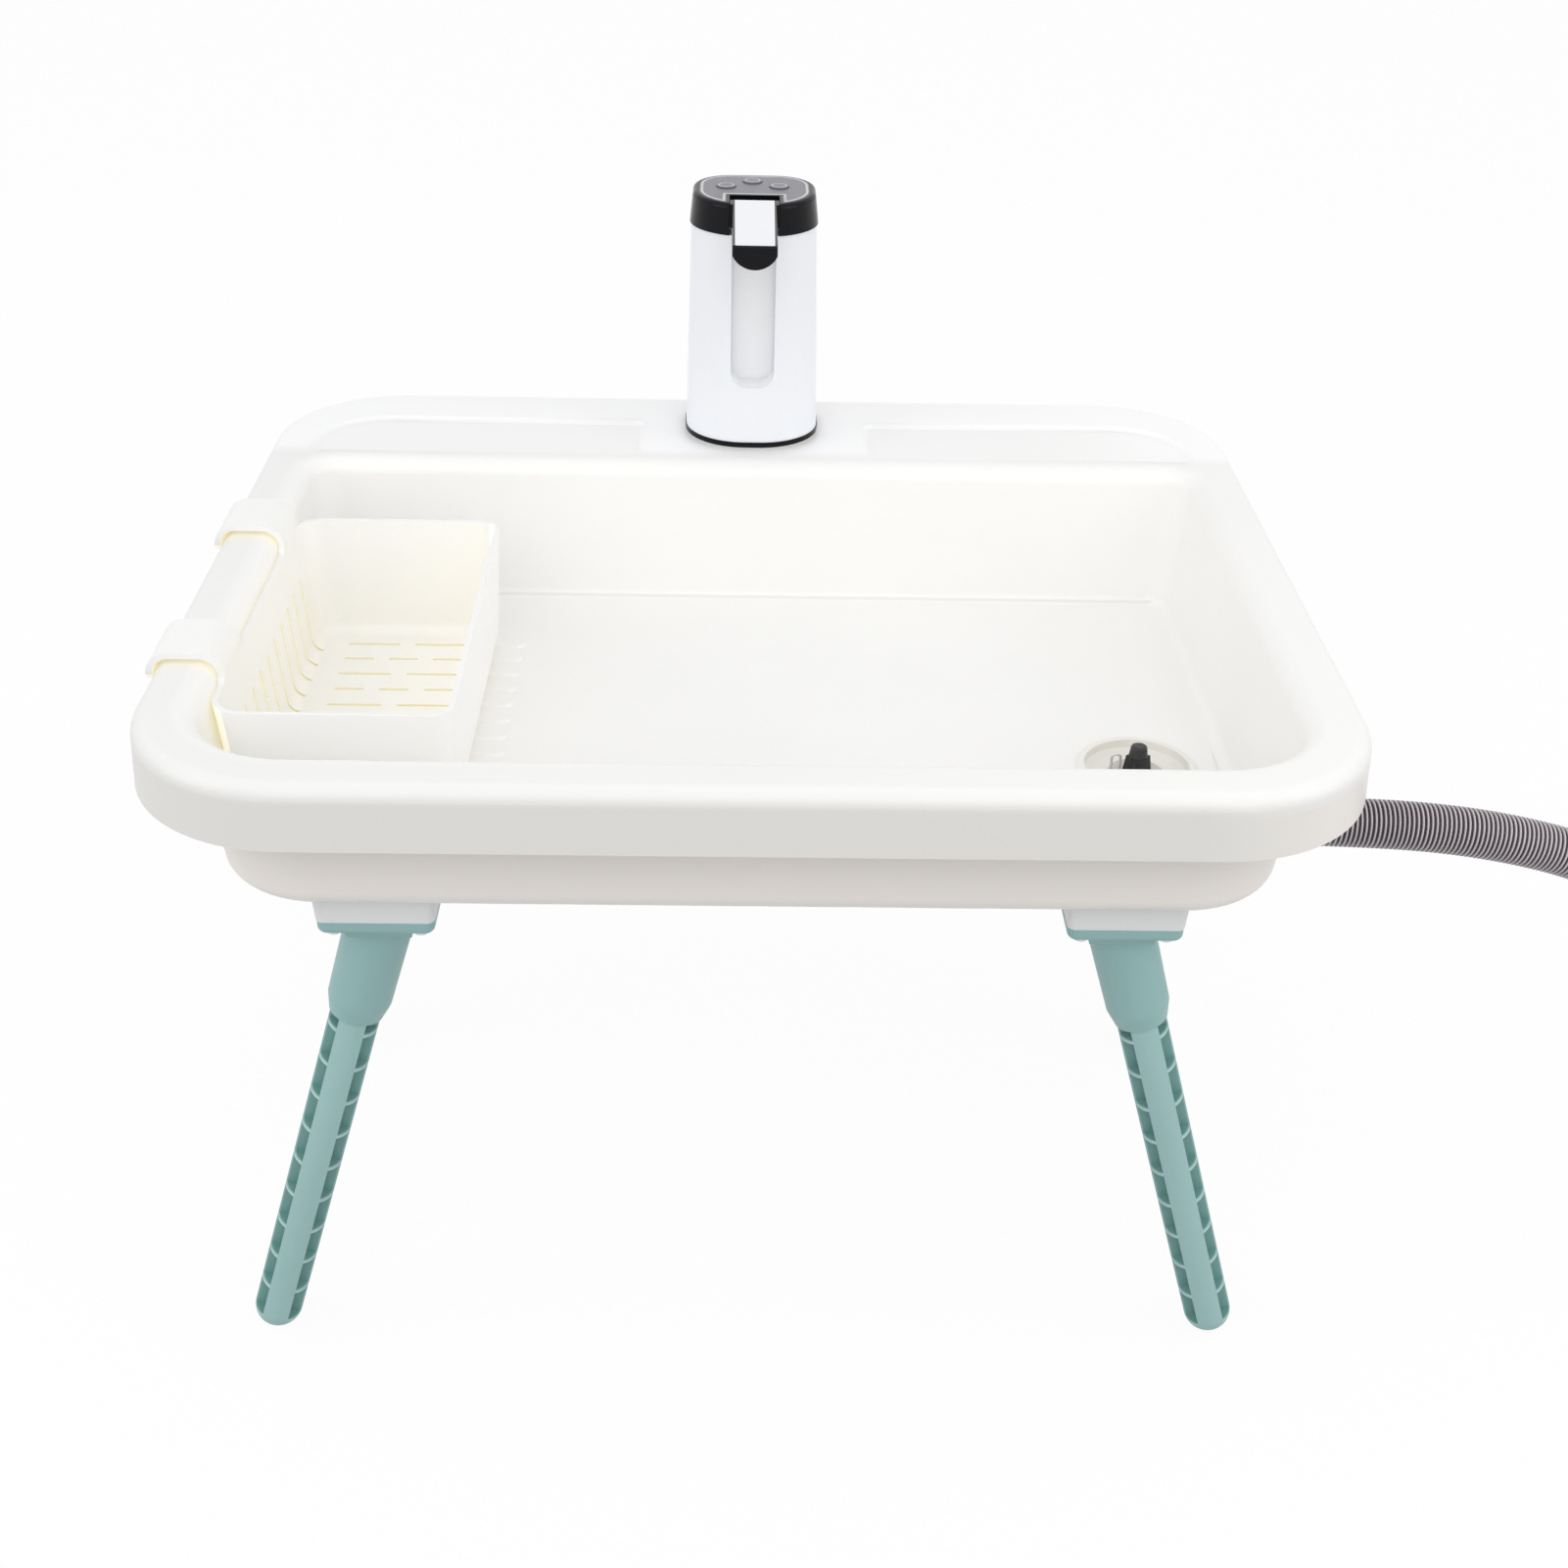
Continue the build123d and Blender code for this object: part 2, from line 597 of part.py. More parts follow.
def make_socket(name, corner):
    """A screwed flange, a stepped block under it and the tapered tube that grips the leg."""
    with BuildPart() as socket:
        with BuildSketch(Plane.XY.offset(SOCKET_TOP)):
            with Locations(corner):
                RectangleRounded(FLANGE_WIDTH, FLANGE_DEPTH, 5)
        extrude(amount=FLANGE_THICKNESS)
        fillet(socket.faces().sort_by(Axis.Z)[0].edges(), FLANGE_EDGE)
        with BuildSketch(Plane.XY.offset(SOCKET_TOP)):
            with Locations(corner):
                Rectangle(BLOCK_WIDTH, BLOCK_DEPTH)
        extrude(amount=-BLOCK_HEIGHT, taper=BLOCK_TAPER)
        with BuildSketch(profile_plane(corner)):
            with BuildLine():
                Polyline(
                    (0, -1),
                    (SOCKET_TOP_RADIUS, -1),
                    (SOCKET_END_RADIUS, SOCKET_LENGTH - SOCKET_TAPER),
                    (SOCKET_MOUTH_RADIUS, SOCKET_LENGTH),
                    (0, SOCKET_LENGTH),
                    close=True,
                )
            make_face()
        revolve(axis=leg_axis(corner))
        with BuildSketch(across_plane(corner, SOCKET_LENGTH)):
            Circle(LEG_RADIUS + LEG_FIT)
        extrude(amount=-SOCKET_BORE_DEPTH, mode=Mode.SUBTRACT)
        with Locations((*corner, SOCKET_TOP)):
            with GridLocations(2 * SCREW_SPREAD, 2 * SCREW_SPREAD, 2, 2):
                Cylinder(SCREW_RADIUS + 0.2, 30, mode=Mode.SUBTRACT)
    save(socket, f"leg_socket_{name}")


def make_leg(name, corner):
    """A moulded leg: a round rod relieved on both sides to a bar, a web and thin discs."""
    with BuildPart() as leg:
        with BuildSketch(profile_plane(corner)):
            with BuildLine():
                Polyline(
                    (0, FOOT_CENTRE + LEG_RADIUS),
                    (0, spigot_top),
                    (LEG_RADIUS - 1, spigot_top),
                    (LEG_RADIUS, spigot_top + 1),
                    (LEG_RADIUS, FOOT_CENTRE),
                )
                CenterArc((0, FOOT_CENTRE), LEG_RADIUS, 0, 90)
            make_face()
        revolve(axis=leg_axis(corner))
        for cell in range(LEG_CELLS):
            length = LEG_PITCH - LEG_DISC if cell else LEG_FIRST_CELL
            end = LEG_FIRST_DISC + LEG_PITCH * cell - LEG_DISC / 2
            pocket = LEG_RADIUS - LEG_BAR / 2 + 1
            offset = LEG_BAR / 2 + pocket / 2
            with BuildSketch(across_plane(corner, end - length)):
                with GridLocations(2 * offset, LEG_RADIUS + LEG_WEB, 2, 2):
                    Rectangle(pocket, LEG_RADIUS)
            extrude(amount=length, mode=Mode.SUBTRACT)
        split(bisect_by=Plane.XY, keep=Keep.TOP)
    save(leg, f"leg_{name}")


for corner_name, corner_middle in CORNERS.items():
    make_pad(corner_name, corner_middle)
    make_socket(corner_name, corner_middle)
    make_leg(corner_name, corner_middle)

# The sixteen flange screws, one group
SCREW_HEAD = 2.6
with BuildPart() as leg_screws:
    for corner_middle in CORNERS.values():
        with Locations((*corner_middle, SOCKET_TOP)):
            with GridLocations(2 * SCREW_SPREAD, 2 * SCREW_SPREAD, 2, 2):
                Cylinder(SCREW_RADIUS, 17, align=(Align.CENTER, Align.CENTER, Align.MIN))
                Cylinder(3.7, SCREW_HEAD, align=(Align.CENTER, Align.CENTER, Align.MAX))
    heads = leg_screws.faces().filter_by(Plane.XY).group_by(Axis.Z)[0]
    fillet(heads.edges(), 1.2)
    with BuildSketch(Plane.XY.offset(SOCKET_TOP - SCREW_HEAD)):
        for corner_middle in CORNERS.values():
            with Locations(corner_middle):
                with GridLocations(2 * SCREW_SPREAD, 2 * SCREW_SPREAD, 2, 2):
                    Rectangle(3.6, 0.9)
                    Rectangle(0.9, 3.6)
    extrude(amount=1.5, mode=Mode.SUBTRACT)
save(leg_screws, "leg_screws")


# Draining basket: drafted walls, two hooks over the rim and a slotted floor
def basket_section(height, inset=0.0):
    """The basket's drafted outline at a height, drawn in by an inset."""
    share = (BASKET_TOP - height) / BASKET_HEIGHT
    return rounded_outline(
        height,
        between(*BASKET_LEFT, share) + inset,
        between(*BASKET_RIGHT, share) - inset,
        between(*BASKET_FRONT, share) + inset,
        between(*BASKET_BACK, share) - inset,
        BASKET_LEFT_CORNER - inset,
        BASKET_RIGHT_CORNER - inset,
        along=Axis.X,
    )


BASKET_BOTTOM = BASKET_TOP - BASKET_HEIGHT
with BuildPart() as basket_space:
    lowest = basket_section(BASKET_BOTTOM + BASKET_FLOOR, BASKET_WALL)
    loft([lowest, basket_section(BASKET_TOP + 1, BASKET_WALL)], ruled=True)
    fillet(basket_space.faces().sort_by(Axis.Z)[0].edges(), BASKET_FLOOR_ROUND - BASKET_WALL)

saddle_top = RIM_HEIGHT + HOOK_GAP + HOOK_THICKNESS
saddle_under = RIM_HEIGHT + HOOK_GAP
flap_inside = -RIM_WIDTH / 2 - HOOK_SIDE_GAP
flap_bottom = RIM_HEIGHT - FLAP_DROP
root_left = BASKET_LEFT[0] - 0.3
root_right = root_left + HOOK_THICKNESS
root_bottom = BASKET_TOP - HOOK_ROOT_DEPTH
with BuildPart() as basket:
    loft([basket_section(BASKET_BOTTOM), basket_section(BASKET_TOP)], ruled=True)
    fillet(basket.faces().sort_by(Axis.Z)[0].edges(), BASKET_FLOOR_ROUND)
    add(basket_space.part, mode=Mode.SUBTRACT)
    for hook_middle in HOOK_MIDDLES:
        with BuildSketch(Plane.XZ.offset(-hook_middle - HOOK_WIDTH / 2)) as saddle:
            with BuildLine():
                Polyline(
                    (root_right, root_bottom),
                    (root_right, saddle_top),
                    (flap_inside - HOOK_THICKNESS, saddle_top),
                    (flap_inside - HOOK_THICKNESS, flap_bottom),
                    (flap_inside, flap_bottom),
                    (flap_inside, saddle_under),
                    (root_left, saddle_under),
                    (root_left, BASKET_TOP),
                    (root_left + HOOK_ROOT_LEAN, root_bottom),
                    close=True,
                )
            make_face()
            fillet(saddle.vertices().group_by(Axis.Y)[-1], HOOK_BEND + HOOK_THICKNESS)
            fillet(saddle.vertices().filter_by_position(Axis.Y, saddle_under, saddle_under), HOOK_BEND)
        extrude(amount=HOOK_WIDTH)
        with BuildSketch(Plane.YZ.offset(root_left)):
            with Locations((hook_middle, BASKET_TOP)):
                with Locations((0, HOOK_ROOT / 2)):
                    Rectangle(HOOK_WIDTH + 2 * HOOK_ROOT, HOOK_ROOT)
                with GridLocations(HOOK_WIDTH + 2 * HOOK_ROOT, 0, 2, 1):
                    with Locations((0, HOOK_ROOT)):
                        Circle(HOOK_ROOT, mode=Mode.SUBTRACT)
        extrude(amount=HOOK_THICKNESS)
    flap_edges = basket.edges().filter_by(Axis.X).filter_by_position(Axis.X, -RIM_WIDTH, flap_inside)
    fillet(flap_edges.filter_by_position(Axis.Z, flap_bottom, flap_bottom), FLAP_CORNER)
    with BuildSketch(Plane.XY.offset(BASKET_BOTTOM - 1)):
        for row in range(SLOT_ROWS):
            row_y = SLOT_BACK_ROW - SLOT_PITCH * row
            spots = SHORT_SLOT_SPOTS if row % 2 else LONG_SLOT_SPOTS
            slot_length = SHORT_SLOT if row % 2 else LONG_SLOT
            with Locations([(SLOT_MIDDLE + spot, row_y) for spot in spots]):
                SlotOverall(slot_length, SLOT_WIDTH)
    extrude(amount=BASKET_FLOOR + 3, mode=Mode.SUBTRACT)
    with BuildSketch(Plane.XY.offset(BASKET_BOTTOM - 1)):
        for row in range(SLOT_ROWS):
            row_y = SLOT_BACK_ROW - SLOT_PITCH * (row + 0.5)
            with Locations((WALL_SLOT_END, row_y)):
                Rectangle(14, SLOT_WIDTH, align=(Align.MAX, Align.CENTER))
    extrude(amount=WALL_SLOT_TOP - BASKET_BOTTOM + 1, mode=Mode.SUBTRACT)
save(basket, "basket")


# Pump tap
def soft_square(height, width, depth, corner):
    """An outline round the tap's middle, with wider corners in front than behind."""
    left, right = TAP_X - width / 2, TAP_X + width / 2
    front, back = TAP_Y - depth / 2, TAP_Y + depth / 2
    return rounded_outline(height, left, right, front, back, corner + FRONT_ROUNDER, corner)


def tap_section(height, inset=0.0):
    """The tap's outline at a height, narrower towards the top."""
    share = (height - TAP_BASE) / (TAP_SEAM - TAP_BASE)
    return soft_square(
        height,
        between(*TAP_WIDTHS, share) - 2 * inset,
        between(*TAP_DEPTHS, share) - 2 * inset,
        between(*TAP_CORNERS, share) - inset,
    )


def lid_section(height, inset=0.0):
    """The lid's outline at a height, just wider than the body at the seam."""
    share = (height - TAP_SEAM) / (TAP_TOP - TAP_SEAM)
    return soft_square(
        height,
        between(*LID_WIDTHS, share) - 2 * inset,
        between(*LID_DEPTHS, share) - 2 * inset,
        between(*LID_CORNERS, share) - inset,
    )


def front_slot(half_width, back, bottom, top, corner=0.0):
    """A channel in the tap's front, from ahead of it to a back wall, its lower corners rounded."""
    front = TAP_Y - 45
    with BuildPart() as channel:
        with BuildSketch(Plane.XZ.offset(-back)) as opening:
            with Locations((TAP_X, (bottom + top) / 2)):
                Rectangle(2 * half_width, top - bottom)
            if corner:
                fillet(opening.vertices().group_by(Axis.Y)[0], corner)
        extrude(amount=back - front)
    return channel


PORT_HEIGHT = TAP_BASE + 14.0
with BuildPart() as tap_outside:
    loft([tap_section(TAP_BASE), tap_section(TAP_SEAM)], ruled=True)

with BuildPart() as groove_wall:
    wall_bottom = GROOVE_BOTTOM - TAP_WALL
    wall_corner = GROOVE_CORNER + TAP_WALL
    wall_back = GROOVE_BACK + TAP_WALL
    add(front_slot(GROOVE_HALF + TAP_WALL, wall_back, wall_bottom, TAP_SEAM, wall_corner).part)
    add(tap_outside.part, mode=Mode.INTERSECT)

with BuildPart() as tap_body:
    add(tap_outside.part)
    tap_space = [tap_section(TAP_BASE + 3, TAP_WALL), tap_section(TAP_SEAM, TAP_WALL)]
    loft(tap_space, ruled=True, mode=Mode.SUBTRACT)
    add(groove_wall.part)
    groove = front_slot(GROOVE_HALF, GROOVE_BACK, GROOVE_BOTTOM, TAP_SEAM + 1, GROOVE_CORNER)
    add(groove.part, mode=Mode.SUBTRACT)
    with Locations((TAP_X, TAP_Y, TAP_BASE)):
        Cylinder(6.0, 8, mode=Mode.SUBTRACT)
    with Locations((TAP_X, TAP_Y + 35, PORT_HEIGHT)):
        Box(9.6, 12, 3.9, mode=Mode.SUBTRACT)
save(tap_body, "tap_body")

with BuildPart() as lid_outside:
    loft([lid_section(TAP_SEAM), lid_section(TAP_TOP)], ruled=True)
    fillet(lid_outside.faces().sort_by(Axis.Z)[-1].edges(), 3)

with BuildPart() as notch_wall:
    add(front_slot(NOTCH_HALF + 2, NOTCH_BACK + 2, TAP_SEAM, TAP_TOP - 1).part)
    add(lid_outside.part, mode=Mode.INTERSECT)


def panel_outline(height, gap):
    """The panel's outline: the lid's top drawn in, less a border round the notch for the spout."""
    with BuildSketch(Plane.XY.offset(height)) as outline:
        add(lid_section(height, PANEL_BORDER + gap))
        border = NOTCH_BORDER + gap
        with Locations((TAP_X, NOTCH_BACK / 2)):
            Rectangle(2 * (NOTCH_HALF + border), NOTCH_BACK + 2 * border, mode=Mode.SUBTRACT)
    return outline.sketch


def cut_button_holes():
    """Takes the three button holes out of the piece that is being made."""
    with Locations([(spot_x, spot_y, TAP_TOP) for spot_x, spot_y in BUTTON_PLACES.values()]):
        Cylinder(BUTTON_RADIUS + BUTTON_GAP, 8, mode=Mode.SUBTRACT)


with BuildPart() as tap_lid:
    add(lid_outside.part)
    lid_space = [lid_section(TAP_SEAM, LID_WALL), lid_section(TAP_TOP - LID_PLATE, LID_WALL)]
    loft(lid_space, ruled=True, mode=Mode.SUBTRACT)
    add(notch_wall.part)
    add(front_slot(NOTCH_HALF, NOTCH_BACK, TAP_SEAM - 1, TAP_TOP + 1).part, mode=Mode.SUBTRACT)
    extrude(panel_outline(TAP_TOP, 0), amount=-PANEL_THICKNESS, mode=Mode.SUBTRACT)
    cut_button_holes()
    with BuildSketch(Plane.YZ.offset(TAP_X - NOTCH_HALF - 3)):
        with Locations((SPOUT_PIVOT_Y, SPOUT_PIVOT_Z)):
            Circle(PIN_RADIUS + 0.05)
    extrude(amount=2 * NOTCH_HALF + 6, mode=Mode.SUBTRACT)
save(tap_lid, "tap_lid")

with BuildPart() as control_panel:
    extrude(panel_outline(TAP_TOP, PANEL_GAP), amount=-PANEL_THICKNESS)
    cut_button_holes()
save(control_panel, "control_panel")

# Push buttons, each with a flange held under the lid and a stem down to the circuit board
BOARD_TOP = TAP_TOP - BOARD_DEPTH
flange_top = TAP_TOP - LID_PLATE - BUTTON_GAP
stem_top = flange_top - BUTTON_FLANGE
stem_bottom = BOARD_TOP + BUTTON_TRAVEL + BUTTON_GAP
for button_name, button_place in BUTTON_PLACES.items():
    with BuildPart() as button:
        with BuildSketch(Plane.XY.offset(flange_top)):
            with Locations(button_place):
                Circle(BUTTON_RADIUS)
        extrude(amount=TAP_TOP + BUTTON_RISE - flange_top)
        fillet(button.faces().sort_by(Axis.Z)[-1].edges(), 0.6)
        with BuildSketch(Plane.XY.offset(flange_top)):
            with Locations(button_place):
                Circle(BUTTON_RADIUS + BUTTON_FLANGE)
        extrude(amount=-BUTTON_FLANGE)
        with BuildSketch(Plane.XY.offset(stem_top)):
            with Locations(button_place):
                Circle(BUTTON_STEM_RADIUS)
        extrude(amount=stem_bottom - stem_top)
    save(button, f"button_{button_name}")

with BuildPart() as circuit_board:
    with BuildSketch(Plane.XY.offset(BOARD_TOP)):
        with Locations((TAP_X, 199.5)):
            RectangleRounded(44, 32, 3)
    extrude(amount=-1.6)
save(circuit_board, "circuit_board")

RING_TOP = TAP_BASE
RING_BOTTOM = RIM_HEIGHT + 1.0
RING_OUTSIDE = (78.4, 72.6, 26.0)
RING_INSIDE = (68.0, 61.0, 20.5)
GASKET_OUTSIDE = (76.4, 70.6, 25.0)
GASKET_INSIDE = (66.0, 59.0, 19.5)
with BuildPart() as tap_base_ring:
    with BuildSketch(Plane.XY.offset(RING_BOTTOM)):
        add(soft_square(RING_BOTTOM, *RING_OUTSIDE))
        add(soft_square(RING_BOTTOM, *RING_INSIDE), mode=Mode.SUBTRACT)
    extrude(amount=RING_TOP - RING_BOTTOM)
    fillet(tap_base_ring.faces().sort_by(Axis.Z)[0].outer_wire().edges(), 0.8)
save(tap_base_ring, "tap_base_ring")

with BuildPart() as tap_gasket:
    with BuildSketch(Plane.XY.offset(RIM_HEIGHT)):
        add(soft_square(RIM_HEIGHT, *GASKET_OUTSIDE))
        add(soft_square(RIM_HEIGHT, *GASKET_INSIDE), mode=Mode.SUBTRACT)
    extrude(amount=RING_BOTTOM - RIM_HEIGHT)
save(tap_gasket, "tap_gasket")

# Inlet: a plate under the tap, a spigot down through the deck and a nipple for a supply tube
tap_axis = Axis((TAP_X, TAP_Y, 0), (0, 0, 1))
tap_plane = Plane(origin=(TAP_X, TAP_Y, 0), x_dir=(1, 0, 0), z_dir=(0, -1, 0))
NIPPLE_BOTTOM = RIM_HEIGHT - 29.0
NIPPLE_TOP = RIM_HEIGHT - 14.0
NIPPLE_RADIUS = 3.6
INLET_BORE = 2.5
inlet_nipple = revolved(
    [
        (INLET_BORE, TAP_BASE + 3),
        (5.8, TAP_BASE + 3),
        (5.8, TAP_BASE),
        (22, TAP_BASE),
        (22, TAP_BASE - 2.5),
        (11.6, TAP_BASE - 2.5),
        (11.6, RIM_HEIGHT - 12),
        (10, NIPPLE_TOP),
        (NIPPLE_RADIUS, NIPPLE_TOP),
        (NIPPLE_RADIUS, NIPPLE_BOTTOM + 0.6),
        (NIPPLE_RADIUS - 0.6, NIPPLE_BOTTOM),
        (INLET_BORE, NIPPLE_BOTTOM),
    ],
    tap_plane,
    tap_axis,
)
save(inlet_nipple, "inlet_nipple")

# Inside the tap: pump, battery, riser and charging port
PUMP_X = TAP_X - 2.0
PUMP_Y = 203.5
PUMP_BOTTOM = TAP_BASE + 3.2
PUMP_TOP = PUMP_BOTTOM + 44.0
PUMP_RADIUS = 13.0
PUMP_HEAD = 18.0
MOTOR_RADIUS = 11.5
with BuildPart() as pump_motor:
    with BuildSketch(Plane.XY.offset(PUMP_BOTTOM)):
        with Locations((PUMP_X, PUMP_Y)):
            Circle(PUMP_RADIUS)
    extrude(amount=PUMP_HEAD)
    fillet(pump_motor.edges().group_by(Axis.Z)[-1], 1.5)
    with BuildSketch(Plane.XY.offset(PUMP_BOTTOM + PUMP_HEAD)):
        with Locations((PUMP_X, PUMP_Y)):
            Circle(MOTOR_RADIUS)
    extrude(amount=PUMP_TOP - PUMP_BOTTOM - PUMP_HEAD)
    chamfer(pump_motor.faces().sort_by(Axis.Z)[-1].edges(), 1)
save(pump_motor, "pump_motor")

CELL_RADIUS = 9.2
CELL_LENGTH = 65.0
CELL_PLACE = (TAP_X + 23.5, 193.0)
with BuildPart() as battery:
    with Locations((*CELL_PLACE, PUMP_BOTTOM)):
        Cylinder(CELL_RADIUS, CELL_LENGTH, align=(Align.CENTER, Align.CENTER, Align.MIN))
    fillet(battery.edges(), 0.8)
    with Locations((*CELL_PLACE, PUMP_BOTTOM + CELL_LENGTH)):
        Cylinder(3.2, 1.2, align=(Align.CENTER, Align.CENTER, Align.MIN))
save(battery, "battery")

RISER_Y = PUMP_Y - 3.0
RISER_BEND = 10.0
RISER_HEIGHT = TAP_SEAM + 4.0
RISER_FRONT = NOTCH_BACK + 2.3
with BuildPart() as riser_tube:
    with BuildLine(Plane.YZ.offset(TAP_X)) as riser_path:
        FilletPolyline(
            (RISER_Y, PUMP_TOP), (RISER_Y, RISER_HEIGHT), (RISER_FRONT, RISER_HEIGHT), radius=RISER_BEND
        )
    with BuildSketch(Plane.XY.offset(PUMP_TOP)):
        with Locations((TAP_X, RISER_Y)):
            Circle(3.5)
            Circle(2.3, mode=Mode.SUBTRACT)
    sweep(path=riser_path.wire())
save(riser_tube, "riser_tube")

PORT_FACE = TAP_Y + 34.6
with BuildPart() as charging_port:
    with BuildSketch(Plane.XZ.offset(-PORT_FACE)):
        with Locations((TAP_X, PORT_HEIGHT)):
            RectangleRounded(9.0, 3.3, 1.6)
            RectangleRounded(8.0, 2.3, 1.1, mode=Mode.SUBTRACT)
    extrude(amount=6.5)
    with BuildSketch(Plane.XZ.offset(-PORT_FACE + 5.5)):
        with Locations((TAP_X, PORT_HEIGHT)):
            Rectangle(8.4, 2.6)
    extrude(amount=1.0)
    with BuildSketch(Plane.XZ.offset(-PORT_FACE + 1.5)):
        with Locations((TAP_X, PORT_HEIGHT)):
            Rectangle(6.0, 0.7)
    extrude(amount=4.5)
save(charging_port, "charging_port")

# Spout: turns down about its pin into the groove in the tap's front
with BuildPart() as spout_pin:
    with BuildSketch(Plane.YZ.offset(TAP_X - NOTCH_HALF - 2)):
        with Locations((SPOUT_PIVOT_Y, SPOUT_PIVOT_Z)):
            Circle(PIN_RADIUS)
    extrude(amount=2 * NOTCH_HALF + 4)
save(spout_pin, "spout_pin")

ARM_TOP = SPOUT_PIVOT_Z + SPOUT_HALF_DEPTH
COVER_BASE = ARM_TOP - SPOUT_COVER
BELLY = SPOUT_PIVOT_Z - SPOUT_HALF_DEPTH
BELLY_SHOULDER = SPOUT_PIVOT_Z + 1.0
NOZZLE_Y = SPOUT_NOSE_Y + 9.0
NOZZLE_RADIUS = 5.5
CHANNEL_HALF = 7.0
CHANNEL_FLOOR = SPOUT_PIVOT_Z - 2.5
CHANNEL_BACK = SPOUT_PIVOT_Y - 12.0
CHEEK_HALF = NOTCH_HALF - 0.4
CHEEK_REACH = 8.4

# The spout's side view as a solid: straight, with a barrel round its pivot
with BuildPart() as spout_side:
    with BuildSketch(Plane.YZ.offset(TAP_X - 20)):
        with BuildLine():
            Polyline(
                (SPOUT_PIVOT_Y, BELLY),
                (SPOUT_NOSE_Y, BELLY),
                (SPOUT_NOSE_Y, ARM_TOP),
                (SPOUT_PIVOT_Y, ARM_TOP),
            )
            CenterArc((SPOUT_PIVOT_Y, SPOUT_PIVOT_Z), SPOUT_HALF_DEPTH, 90, -180)
        make_face()
    extrude(amount=40)

with BuildPart() as spout_cover:
    with BuildSketch(Plane.XY.offset(COVER_BASE)) as cover_outline:
        with BuildLine():
            Polyline(
                (TAP_X - 10.4, SPOUT_NOSE_Y + 1.2),
                (TAP_X + 10.4, SPOUT_NOSE_Y + 1.2),
                (TAP_X + 11.0, SPOUT_PIVOT_Y + 3),
                (TAP_X - 11.0, SPOUT_PIVOT_Y + 3),
                close=True,
            )
        make_face()
        fillet(cover_outline.vertices(), 1.2)
    extrude(amount=SPOUT_COVER)
    add(spout_side.part, mode=Mode.INTERSECT)
save(spout_cover, "spout_cover")

with BuildPart() as spout_arm:
    with BuildSketch(Plane.XZ.offset(-SPOUT_PIVOT_Y - SPOUT_HALF_DEPTH)):
        with BuildLine():
            Polyline(
                (TAP_X - SPOUT_HALF_WIDTH, BELLY_SHOULDER),
                (TAP_X - SPOUT_HALF_WIDTH, ARM_TOP),
                (TAP_X + SPOUT_HALF_WIDTH, ARM_TOP),
                (TAP_X + SPOUT_HALF_WIDTH, BELLY_SHOULDER),
            )
            ThreePointArc(
                (TAP_X + SPOUT_HALF_WIDTH, BELLY_SHOULDER),
                (TAP_X, BELLY),
                (TAP_X - SPOUT_HALF_WIDTH, BELLY_SHOULDER),
            )
        make_face()
    extrude(amount=SPOUT_PIVOT_Y + SPOUT_HALF_DEPTH - SPOUT_NOSE_Y)
    nose = spout_arm.faces().sort_by(Axis.Y)[0]
    fillet(nose.edges(), 1.2)
    with BuildSketch(Plane.YZ.offset(TAP_X - CHEEK_HALF)):
        with Locations((SPOUT_PIVOT_Y - CHEEK_REACH, SPOUT_PIVOT_Z)):
            Rectangle(20, 2 * SPOUT_HALF_DEPTH, align=(Align.MIN, Align.CENTER))
    extrude(amount=2 * CHEEK_HALF)
    add(spout_side.part, mode=Mode.INTERSECT)
    with BuildSketch(Plane.XY.offset(COVER_BASE)):
        add(cover_outline.sketch)
    extrude(amount=SPOUT_COVER + 1, mode=Mode.SUBTRACT)
    with BuildSketch(Plane.XY.offset(CHANNEL_FLOOR)):
        with Locations((TAP_X, (SPOUT_NOSE_Y + 3 + CHANNEL_BACK) / 2)):
            RectangleRounded(2 * CHANNEL_HALF, CHANNEL_BACK - SPOUT_NOSE_Y - 3, 5)
    extrude(amount=COVER_BASE - CHANNEL_FLOOR, mode=Mode.SUBTRACT)
    with Locations((TAP_X, NOZZLE_Y, BELLY)):
        Cylinder(NOZZLE_RADIUS + 0.05, 20, mode=Mode.SUBTRACT)
    with BuildSketch(Plane.YZ.offset(TAP_X - 20)):
        with Locations((SPOUT_PIVOT_Y, SPOUT_PIVOT_Z)):
            Circle(PIN_RADIUS + 0.08)
    extrude(amount=40, mode=Mode.SUBTRACT)
save(spout_arm, "spout_arm")

# Nozzle: a cup pressed up into the spout, with seven jet holes
with BuildPart() as spout_nozzle:
    with BuildSketch(Plane.XY.offset(BELLY - 0.2)):
        with Locations((TAP_X, NOZZLE_Y)):
            Circle(NOZZLE_RADIUS)
    extrude(amount=6.5)
    with BuildSketch(Plane.XY.offset(BELLY + 1.3)):
        with Locations((TAP_X, NOZZLE_Y)):
            Circle(NOZZLE_RADIUS - 1.2)
    extrude(amount=6, mode=Mode.SUBTRACT)
    with Locations((TAP_X, NOZZLE_Y, BELLY)):
        Cylinder(0.6, 6, mode=Mode.SUBTRACT)
        with PolarLocations(2.6, 6):
            Cylinder(0.6, 6, mode=Mode.SUBTRACT)
save(spout_nozzle, "spout_nozzle")

with BuildPart() as spout_tube:
    with BuildSketch(Plane.XZ.offset(-NOZZLE_Y - NOZZLE_RADIUS - 0.2)):
        with Locations((TAP_X, SPOUT_PIVOT_Z + 1.2)):
            Circle(3.0)
            Circle(2.0, mode=Mode.SUBTRACT)
    extrude(amount=-(CHANNEL_BACK - NOZZLE_Y - NOZZLE_RADIUS - 0.6))
save(spout_tube, "spout_tube")

